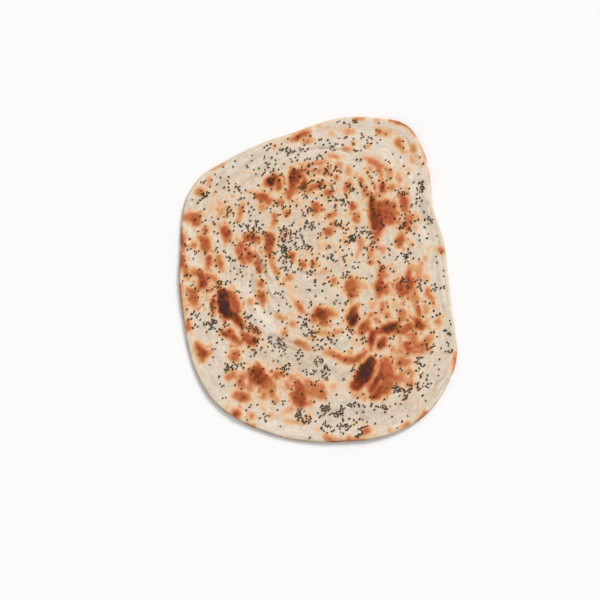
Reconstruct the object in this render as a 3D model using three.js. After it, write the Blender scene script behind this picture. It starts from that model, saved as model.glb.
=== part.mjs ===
// A large malawach: a laminated flatbread, rolled up into a coil, pressed flat and baked on both sides.
// It is one solid, a thin slab with an uneven outline, a raised rim, low coil ridges and toasted blisters
// on top, and a border that lifts off the resting surface here and there.
// Millimetres, +Z up, the origin on the resting surface under the middle of the bread.

import * as THREE from "three";

// Driving dimensions. The outline is the rim's distance from the origin at every 10 degrees,
// counter-clockwise from +X.
const RIM_RADII = [
  142, 142, 144, 147, 162, 182, 196, 190, 182, 172, 164, 162,
  162, 165, 170, 167, 158, 151, 150, 150, 153, 160, 168, 175,
  177, 177, 178, 179, 181, 186, 189, 188, 182, 173, 157, 146,
];

const MIDDLE_THICKNESS = 4.3;
const BORDER_THICKNESS = 3.0;
const TAPER_WIDTH = 38; // the sheet thins towards the rim over this width

const RIM_BEAD_HEIGHT = 0.55;
const RIM_BEAD_INSET = 7; // from the outline to the crest of the bead
const RIM_BEAD_HALF_WIDTH = 4.5;

// The rope of dough was wound round this point, and each of its turns is still a low step in the top.
const COIL_CENTRE = new THREE.Vector2(-12, 30);
const COIL_TURNS = 9;
const RIDGE_HEIGHT = 0.5;
const RIDGE_CREST = 0.75; // share of a turn's width that climbs, before the drop to the next turn

// Where the border lifts off the surface: bearing and half width in degrees, and height at the rim.
const LIFT_WIDTH = 34;
const RIM_LIFTS = [
  { bearing: 60, halfWidth: 22, height: 3.2 },
  { bearing: 128, halfWidth: 16, height: 1.4 },
  { bearing: 182, halfWidth: 24, height: 1.8 },
  { bearing: 236, halfWidth: 18, height: 1.5 },
  { bearing: 292, halfWidth: 26, height: 2.6 },
  { bearing: 350, halfWidth: 14, height: 1.2 },
];

// The larger blisters, as [x, y, half length, half width, turn in degrees, rise].
const BLISTERS = [
  [-99, -25, 19, 10, -62, 1.5],
  [51, -101, 20, 11, 58, 1.5],
  [72, 75, 14, 10, 82, 1.3],
  [61, 75, 16, 6, 90, 0.9],
  [-27, 114, 11, 6, 80, 1.1],
  [-14, 108, 9, 5, 100, 0.9],
  [-52, 39, 13, 6, 92, 1.2],
  [-82, 28, 12, 7, 95, 0.9],
  [-71, 46, 8, 7, 0, 0.9],
  [-123, 40, 9, 7, 80, 1.0],
  [-132, 67, 10, 7, 0, 0.9],
  [-124, 2, 10, 6, -10, 0.9],
  [-133, -14, 10, 7, 100, 0.9],
  [-125, -79, 12, 7, -55, 1.0],
  [-74, -64, 9, 7, 0, 0.9],
  [-68, -105, 14, 11, -40, 1.2],
  [-81, -127, 10, 6, 0, 0.8],
  [-18, -124, 14, 9, 75, 1.2],
  [0, -121, 12, 9, -15, 1.0],
  [4, -40, 10, 9, 0, 1.1],
  [37, -40, 12, 6, 75, 1.2],
  [78, -52, 10, 6, 10, 1.1],
  [48, -53, 11, 7, 50, 1.0],
  [71, -110, 15, 10, 20, 1.3],
  [62, -126, 11, 6, 15, 0.9],
  [98, -73, 10, 7, 0, 1.0],
  [110, -46, 8, 7, 0, 1.1],
  [92, -8, 10, 8, -30, 1.0],
  [68, -8, 11, 7, 100, 1.0],
  [38, -8, 13, 8, 85, 1.1],
  [88, 41, 8, 5, 75, 1.0],
  [-1, 79, 7, 6, 0, 0.8],
];

// Mesh fineness: columns run round the bread, and rows from the coil's centre to the rim.
const COLUMNS = 96;
const TOP_ROWS = 38;

const TURN = 2 * Math.PI;
const { clamp, euclideanModulo, lerp, smoothstep, DEG2RAD, RAD2DEG } = THREE.MathUtils;

// Distance of the rim from the origin at a bearing in radians: a Catmull-Rom curve through RIM_RADII.
function rimRadius(bearing) {
  const count = RIM_RADII.length;
  const along = euclideanModulo(bearing / TURN, 1) * count;
  const first = Math.floor(along);
  const t = along - first;
  const [a, b, c, d] = [-1, 0, 1, 2].map((step) => RIM_RADII[(first + step + count) % count]);
  return b + 0.5 * t * (c - a + t * (2 * a - 5 * b + 4 * c - d + t * (3 * (b - c) + d - a)));
}

// A point of the bread in plan: share 0 is the coil's centre and share 1 the rim.
function planPoint(bearing, share) {
  const rim = new THREE.Vector2(Math.cos(bearing), Math.sin(bearing)).multiplyScalar(rimRadius(bearing));
  return COIL_CENTRE.clone().lerp(rim, share);
}

// How far the underside stands off the surface: nothing inside the border, then rising to the rim's own lift.
function lift(bearing, inset) {
  const heights = RIM_LIFTS.map((place) => {
    const off = euclideanModulo(bearing * RAD2DEG - place.bearing + 180, 360) - 180;
    return place.height * Math.exp(-((off / place.halfWidth) ** 2));
  });
  const outward = clamp(1 - inset / LIFT_WIDTH, 0, 1);
  return outward ** 2 * heights.reduce((sum, height) => sum + height);
}

// Thickness of the sheet with the bead that runs round its rim.
function thickness(inset) {
  const sheet = lerp(BORDER_THICKNESS, MIDDLE_THICKNESS, smoothstep(inset, 0, TAPER_WIDTH));
  return sheet + RIM_BEAD_HEIGHT * Math.exp(-(((inset - RIM_BEAD_INSET) / RIM_BEAD_HALF_WIDTH) ** 2));
}

// Each turn of the coil climbs outwards and drops to the next, like a shingle. The ridge fades at the
// middle and at the rim.
function coilRidge(bearing, share) {
  const phase = euclideanModulo(COIL_TURNS * share - bearing / TURN, 1);
  const climb = smoothstep(phase, 0, RIDGE_CREST);
  const drop = smoothstep(phase, RIDGE_CREST, 1);
  const fade = smoothstep(share, 0.04, 0.14) * (1 - smoothstep(share, 0.86, 0.95));
  return RIDGE_HEIGHT * (climb - drop) * fade;
}

// Blisters are low domes with an oval foot. Where two meet, the higher one counts.
function blisterRise(point) {
  const rises = BLISTERS.map(([x, y, halfLength, halfWidth, turn, rise]) => {
    const centre = new THREE.Vector2(x, y);
    const local = point.clone().rotateAround(centre, -turn * DEG2RAD).sub(centre);
    const reach = (local.x / halfLength) ** 2 + (local.y / halfWidth) ** 2;
    return rise * Math.max(0, 1 - reach) ** 1.5;
  });
  return Math.max(...rises);
}

// The section that is turned once round: x is the share of the way to the rim, and y the level in the sheet,
// from 0 at the underside to 1 at the top. It starts and ends on the axis.
function sheetSection() {
  const underside = [0, 0.4, 0.68, 0.8, 0.89, 0.95, 0.985].map((share) => [share, 0]);
  const edge = [
    [0.997, 0.12],
    [1, 0.38],
    [0.997, 0.75],
  ];
  const top = Array.from({ length: TOP_ROWS }, (_, row) => [0.989 * (1 - row / (TOP_ROWS - 1)), 1]);
  return [...underside, ...edge, ...top].map(([share, level]) => new THREE.Vector2(share, level));
}

function breadGeometry() {
  const geometry = new THREE.LatheGeometry(sheetSection(), COLUMNS);
  const position = geometry.getAttribute("position");
  for (let i = 0; i < position.count; i++) {
    // The lathe turns its section round Y: X and Z give a point's bearing and share, and Y gives its level.
    const bearing = Math.atan2(position.getX(i), position.getZ(i));
    const share = Math.hypot(position.getX(i), position.getZ(i));
    const level = position.getY(i);
    const point = planPoint(bearing, share);
    const inset = point.distanceTo(planPoint(bearing, 1));
    const relief = level === 1 ? coilRidge(bearing, share) + blisterRise(point) : 0;
    position.setXYZ(i, point.x, point.y, lift(bearing, inset) + level * thickness(inset) + relief);
  }
  geometry.computeVertexNormals();
  return geometry;
}

const bakedDough = new THREE.MeshStandardMaterial({ color: 0xdcc5a8, roughness: 0.78, metalness: 0 });

const bread = new THREE.Mesh(breadGeometry(), bakedDough);
bread.name = "flatbread";

const malawach = new THREE.Group();
malawach.add(bread);

export default malawach;
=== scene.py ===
"""A large malawach: a laminated flatbread with nigella seeds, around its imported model.

The bread was rolled up into a coil, pressed flat by hand and baked in a dry pan on both sides. Lengths in
this file are millimetres unless a name says otherwise, in the model's own frame: +Z up out of the seeded
top, +Y along the longer side of the outline. Meshes are made in metres.
"""

from __future__ import annotations

import logging
import math
from dataclasses import dataclass, field
from enum import Enum

import bpy
import numpy as np
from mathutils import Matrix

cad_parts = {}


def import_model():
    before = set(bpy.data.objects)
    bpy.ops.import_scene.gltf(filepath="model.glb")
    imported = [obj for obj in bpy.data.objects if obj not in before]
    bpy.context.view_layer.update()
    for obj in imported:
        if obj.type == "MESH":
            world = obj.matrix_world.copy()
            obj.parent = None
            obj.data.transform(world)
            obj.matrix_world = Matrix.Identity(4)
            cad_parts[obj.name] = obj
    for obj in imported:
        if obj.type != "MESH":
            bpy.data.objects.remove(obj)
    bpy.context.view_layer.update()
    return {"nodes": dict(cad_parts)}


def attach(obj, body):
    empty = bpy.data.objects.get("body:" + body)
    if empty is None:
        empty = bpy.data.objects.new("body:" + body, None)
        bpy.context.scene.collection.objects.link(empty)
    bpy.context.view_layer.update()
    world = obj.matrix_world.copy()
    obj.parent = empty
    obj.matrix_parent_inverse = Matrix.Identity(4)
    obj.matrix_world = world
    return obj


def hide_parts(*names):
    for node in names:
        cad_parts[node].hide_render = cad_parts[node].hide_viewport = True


LOG = logging.getLogger("malawach")
METRE = 0.001  # metres in a millimetre
TURN = 2 * math.pi
NOISE_SLOPES = 256  # random slopes that the noise draws on, a power of two
NOISE_GAIN = 1.5  # brings the noise up to about -1 to 1
Array = np.ndarray
Point = tuple[float, float]
Knot = tuple[float, float, float, float]


# --- Small tools ----------------------------------------------------------------------------------


def linear(hex_colour: str) -> tuple[float, float, float, float]:
    """Turns an sRGB colour into the linear one that shaders take.

    Args:
        hex_colour: the colour as "#rrggbb".

    Returns:
        Linear red, green, blue and an alpha of 1.
    """
    parts = [int(hex_colour[i : i + 2], 16) / 255 for i in (1, 3, 5)]
    red, green, blue = [p / 12.92 if p <= 0.04045 else ((p + 0.055) / 1.055) ** 2.4 for p in parts]
    return red, green, blue, 1.0


def smoothstep(low: Array | float, high: Array | float, value: Array) -> Array:
    """0 below low, 1 above high, and 3t^2 - 2t^3 between, with t the share of the way."""
    t = np.clip((value - low) / (high - low), 0, 1)
    return t * t * (3 - 2 * t)


def gradient_noise(x: Array, y: Array, cell: float, seed: int) -> Array:
    """Smooth random bumps on a plane.

    Every corner of a square lattice has a random slope, and the value is the blend of the four nearest
    slopes' planes by the fifth-degree ease 6t^5 - 15t^4 + 10t^3.

    Args:
        x, y: places on the plane.
        cell: side of a lattice square, which is about the size of one bump.
        seed: which of the random fields.

    Returns:
        Values of about -1 to 1.
    """
    rng = np.random.default_rng(seed)
    order = rng.permutation(NOISE_SLOPES)
    slope = np.exp(1j * rng.uniform(0, TURN, NOISE_SLOPES))
    mask = NOISE_SLOPES - 1
    column = np.floor(x / cell).astype(int)
    row = np.floor(y / cell).astype(int)
    right = x / cell - column
    up = y / cell - row

    def plane(step_x: int, step_y: int) -> Array:
        """The value here of the plane through one corner of the square."""
        corner = slope[order[(order[(column + step_x) & mask] + row + step_y) & mask]]
        return corner.real * (right - step_x) + corner.imag * (up - step_y)

    ease_x = right**3 * (right * (6 * right - 15) + 10)
    ease_y = up**3 * (up * (6 * up - 15) + 10)
    low = plane(0, 0) + ease_x * (plane(1, 0) - plane(0, 0))
    high = plane(0, 1) + ease_x * (plane(1, 1) - plane(0, 1))
    return NOISE_GAIN * (low + ease_y * (high - low))


def fractal_noise(x: Array, y: Array, cell: float, seed: int, octaves: int) -> Array:
    """Gradient noise with finer copies on it, each half the size and half the height of the one before."""
    return sum(gradient_noise(x, y, cell / 2**k, seed + k) / 2**k for k in range(octaves))


@dataclass(frozen=True)
class Bumps:
    """Random unevenness of one kind: its height, the size of a bump, its own field and its octaves."""

    height: float
    cell: float
    field: int
    octaves: int = 1  # one size of bumps, or more with each half as large as the one before

    def at(self, x: Array, y: Array, seed: int) -> Array:
        """The unevenness at places on a plane."""
        return self.height * fractal_noise(x, y, self.cell, seed + self.field, self.octaves)


def along_chain(x: Array, y: Array, start: Knot, end: Knot) -> tuple[Array, Array, Array]:
    """Where places lie beside one stretch of a chain of knots.

    The nearest point of the straight stretch is found. The knots' last two numbers change evenly along it.

    Args:
        x, y: the places.
        start, end: the knots at the stretch's ends, as x, y, half width and strength.

    Returns:
        The distance to the stretch, and the half width and the strength at its nearest point.
    """
    foot = complex(start[0], start[1])
    run = complex(end[0], end[1]) - foot
    arm = x + 1j * y - foot
    share = np.clip((arm * run.conjugate()).real / max(abs(run) ** 2, 1e-9), 0, 1)
    half_width = start[2] + share * (end[2] - start[2])
    strength = start[3] + share * (end[3] - start[3])
    return abs(arm - share * run), half_width, strength


def add_node(
    tree: bpy.types.NodeTree,
    kind: str,
    inputs: dict[str | int, object] | None = None,
    **settings: object,
) -> bpy.types.Node:
    """Adds one node to a tree.

    Args:
        tree: the material's or world's node tree.
        kind: the node's type.
        inputs: socket name or number, with its value or the output socket that feeds it.
        settings: the node's own properties.

    Returns:
        The new node.
    """
    made = tree.nodes.new(kind)
    for name, value in settings.items():
        setattr(made, name, value)
    for key, value in (inputs or {}).items():
        named = [socket for socket in made.inputs if socket.name == key and socket.enabled]
        socket = named[0] if named else made.inputs[key]
        if isinstance(value, bpy.types.NodeSocket):
            tree.links.new(value, socket)
        else:
            socket.default_value = value
    return made


def mixed(tree: bpy.types.NodeTree, share: object, first: object, second: object) -> bpy.types.NodeSocket:
    """The mixture of two colours, with the share that the second one has in it."""
    inputs = {"Factor": share, "A": first, "B": second}
    return add_node(tree, "ShaderNodeMix", inputs, data_type="RGBA").outputs[2]


def bumped(
    tree: bpy.types.NodeTree, height: bpy.types.NodeSocket, strength: float, depth: float
) -> bpy.types.NodeSocket:
    """The surface's direction with fine bumps on it, whose depth is in millimetres."""
    inputs = {"Height": height, "Strength": strength, "Distance": depth * METRE}
    return add_node(tree, "ShaderNodeBump", inputs).outputs["Normal"]


def finished(tree: bpy.types.NodeTree, inputs: dict[str | int, object]) -> None:
    """Ends a material with its shader and its output."""
    shader = add_node(tree, "ShaderNodeBsdfPrincipled", inputs)
    add_node(tree, "ShaderNodeOutputMaterial", {"Surface": shader.outputs["BSDF"]})


def new_material(name: str) -> tuple[bpy.types.Material, bpy.types.NodeTree]:
    """Makes a material with an empty node tree.

    Args:
        name: the material's name.

    Returns:
        The material and its tree.
    """
    material = bpy.data.materials.new(name)
    material.use_nodes = True
    material.node_tree.nodes.clear()
    return material, material.node_tree


def new_piece(name: str, points: Array, faces: list, values: dict[str, Array]) -> bpy.types.Object:
    """Makes a smooth-shaded mesh object at the origin.

    Args:
        name: the piece's name.
        points: one row of x, y, z in millimetres for each vertex.
        faces: vertex numbers of each face, counter-clockwise seen from outside.
        values: attribute name to one number for each vertex.

    Returns:
        The object, linked to the scene.
    """
    mesh = bpy.data.meshes.new(name)
    mesh.from_pydata((points * METRE).tolist(), [], faces)
    mesh.polygons.foreach_set("use_smooth", np.ones(len(mesh.polygons), bool))
    for label, numbers in values.items():
        layer = mesh.attributes.new(label, "FLOAT", "POINT")
        layer.data.foreach_set("value", np.asarray(numbers, np.float32))
    mesh.update()
    piece = bpy.data.objects.new(name, mesh)
    bpy.context.scene.collection.objects.link(piece)
    LOG.info("%s: %d vertices, %d faces", name, len(mesh.vertices), len(mesh.polygons))
    return piece


# --- Finishes -------------------------------------------------------------------------------------


@dataclass(frozen=True)
class BakedDough:
    """Wheat dough baked dry in a hot pan: a dull cream crust, brown in spots and black where it burnt."""

    slot: str = "baked_dough"
    pale_low: str = "#bca68d"
    pale_high: str = "#efe2d1"
    rosy: str = "#e9cec3"
    ashen: str = "#d5d7c1"
    # painted shade: grooves and the wall's side away from the lamp are darkened towards this colour
    painted_shade: str = "#a08468"
    # How far the crust is toasted, from 0 to 1, and its colour there.
    toast: tuple[tuple[float, str], ...] = (
        (0.00, "#ead4bb"),
        (0.08, "#eacaa8"),
        (0.18, "#e2b78c"),
        (0.30, "#d99d6f"),
        (0.42, "#cb8050"),
        (0.52, "#bb673c"),
        (0.62, "#a6552d"),
        (0.72, "#8c431f"),
        (0.82, "#713518"),
        (0.92, "#572a1c"),
        (1.00, "#432629"),
    )
    toasted_from: float = 0.12  # from here on the toast colours cover the pale ones
    hue_middle: float = 0.4975  # 0.5 leaves the toast colours' hue as it is
    hue_swing: float = 0.026
    # Sizes of the patterns.
    patch: float = 15.0  # patches that are paler and less yellow than the rest
    cast: float = 5.5  # patches that lean to pink or to grey
    mottle: float = 2.6  # the flaky mottling
    grain: float = 0.9  # the crust's grain
    layer: float = 0.45  # one layer of dough at the rim, drawn coarser than real, so that it shows
    layer_changes: float = 60.0  # how often a layer changes in a metre of its length
    # How far the patterns change the toasting.
    mottled_toast: float = 0.19
    layered_toast: float = 0.8
    grainy_toast: float = 0.04
    # How far they change the tone of the pale crust.
    mottled_tone: float = 1.2
    grainy_tone: float = 0.6
    cast_contrast: float = 5.0
    patch_contrast: float = 2.6
    patch_middle: float = 0.25
    patch_least: float = 0.3
    # How far they raise the crust, beside the grain.
    mottled_height: float = 0.6
    layered_height: float = 3.0
    bump: float = 0.45
    bump_depth: float = 0.35
    # The sheen.
    raw_roughness: float = 0.8
    burnt_roughness: float = 0.6
    ior: float = 1.45
    specular: float = 0.14

    def make(self) -> bpy.types.Material:
        """Builds the material from the attributes bake, tone and wall, and from the attribute that holds
        painted shade.

        Returns:
            The material.
        """
        material, tree = new_material("pan_baked_wheat_dough")
        place = add_node(tree, "ShaderNodeTexCoord").outputs["Object"]
        bake, tone, painted_shade, wall = (
            add_node(tree, "ShaderNodeAttribute", attribute_name=name).outputs["Fac"]
            for name in ("bake", "tone", "painted_shade", "wall")
        )

        def maths(operation: str, *values: object) -> bpy.types.NodeSocket:
            """One step of arithmetic."""
            return add_node(tree, "ShaderNodeMath", dict(enumerate(values)), operation=operation).outputs[0]

        def noise(vector: bpy.types.NodeSocket, scale: float, detail: float) -> bpy.types.NodeSocket:
            """Noise around 0, with finer detail or without."""
            inputs = {"Vector": vector, "Scale": scale, "Detail": detail}
            return maths("SUBTRACT", add_node(tree, "ShaderNodeTexNoise", inputs).outputs["Fac"], 0.5)

        def pattern(size: float, detail: float) -> bpy.types.NodeSocket:
            """Noise around 0 with bumps of a size in millimetres."""
            return noise(place, 1 / (size * METRE), detail)

        mottle = pattern(self.mottle, detail=3.0)
        grain = pattern(self.grain, detail=2.0)
        flat_scale = (self.layer_changes, self.layer_changes, 1 / (self.layer * METRE))
        flat = add_node(tree, "ShaderNodeMapping", {"Vector": place, "Scale": flat_scale}).outputs[0]
        layers = maths("MULTIPLY", noise(flat, 1.0, detail=1.0), wall)

        # The mottling is strongest where the crust is toasted, and the layers show only on the rim's wall.
        bake = maths("MULTIPLY_ADD", maths("MULTIPLY", mottle, self.mottled_toast), bake, bake)
        bake = maths("MULTIPLY_ADD", layers, self.layered_toast, bake)
        bake = maths("MULTIPLY_ADD", grain, self.grainy_toast, bake)
        ramp = add_node(tree, "ShaderNodeValToRGB", {"Fac": bake})
        while len(ramp.color_ramp.elements) < len(self.toast):
            ramp.color_ramp.elements.new(1.0)
        for stop, (position, colour) in zip(ramp.color_ramp.elements, self.toast):
            stop.position = position
            stop.color = linear(colour)
        hue = maths("MULTIPLY_ADD", pattern(self.patch, detail=0.0), self.hue_swing, self.hue_middle)
        brown = add_node(tree, "ShaderNodeHueSaturation", {"Color": ramp.outputs["Color"], "Hue": hue})

        tone = maths("MULTIPLY_ADD", mottle, self.mottled_tone, tone)
        tone = maths("MULTIPLY_ADD", grain, self.grainy_tone, tone)
        pale = mixed(tree, tone, linear(self.pale_low), linear(self.pale_high))
        lean = maths("MULTIPLY_ADD", pattern(self.cast, detail=3.0), self.cast_contrast, 0.5)
        cast = mixed(tree, lean, linear(self.rosy), linear(self.ashen))
        patches = pattern(self.patch, detail=1.0)
        patches = maths("MULTIPLY_ADD", patches, self.patch_contrast, self.patch_middle)
        pale = mixed(tree, maths("MAXIMUM", patches, self.patch_least), pale, cast)

        toasted = add_node(tree, "ShaderNodeMapRange", {"Value": bake, "From Max": self.toasted_from})
        crust = mixed(tree, toasted.outputs["Result"], pale, brown.outputs["Color"])
        # Painted shade: grooves and the wall's side away from the lamp are darkened towards a grey brown.
        with_painted_shade = mixed(tree, painted_shade, crust, linear(self.painted_shade))

        height = maths("MULTIPLY_ADD", mottle, self.mottled_height, grain)
        height = maths("MULTIPLY_ADD", layers, self.layered_height, height)
        normal = bumped(tree, height, self.bump, self.bump_depth)
        sheen = {"Value": bake, "To Min": self.raw_roughness, "To Max": self.burnt_roughness}
        roughness = add_node(tree, "ShaderNodeMapRange", sheen)
        finished(
            tree,
            {
                "Base Color": with_painted_shade,
                "Roughness": roughness.outputs["Result"],
                "Normal": normal,
                "IOR": self.ior,
                "Specular IOR Level": self.specular,
            },
        )
        return material


@dataclass(frozen=True)
class SeedCoat:
    """Nigella seed: a dull black coat, finely pitted, so that it has only a faint sheen."""

    slot: str = "black_seed"
    dark: str = "#281b11"
    light: str = "#6b5238"
    pit: float = 0.3
    pit_bump: float = 0.4
    pit_depth: float = 0.1
    roughness: float = 0.6
    specular: float = 0.25

    def make(self) -> bpy.types.Material:
        """Builds the material, with a shade for each seed from the attribute shade.

        Returns:
            The material.
        """
        material, tree = new_material("dull_black_seed_coat")
        place = add_node(tree, "ShaderNodeTexCoord").outputs["Object"]
        shade = add_node(tree, "ShaderNodeAttribute", attribute_name="shade").outputs["Fac"]
        pits = add_node(tree, "ShaderNodeTexNoise", {"Vector": place, "Scale": 1 / (self.pit * METRE)})
        colour = mixed(tree, shade, linear(self.dark), linear(self.light))
        normal = bumped(tree, pits.outputs["Fac"], self.pit_bump, self.pit_depth)
        finished(
            tree,
            {
                "Base Color": colour,
                "Roughness": self.roughness,
                "Normal": normal,
                "Specular IOR Level": self.specular,
            },
        )
        return material


# --- Where the bread is toasted, folded and seeded ------------------------------------------------

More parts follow.
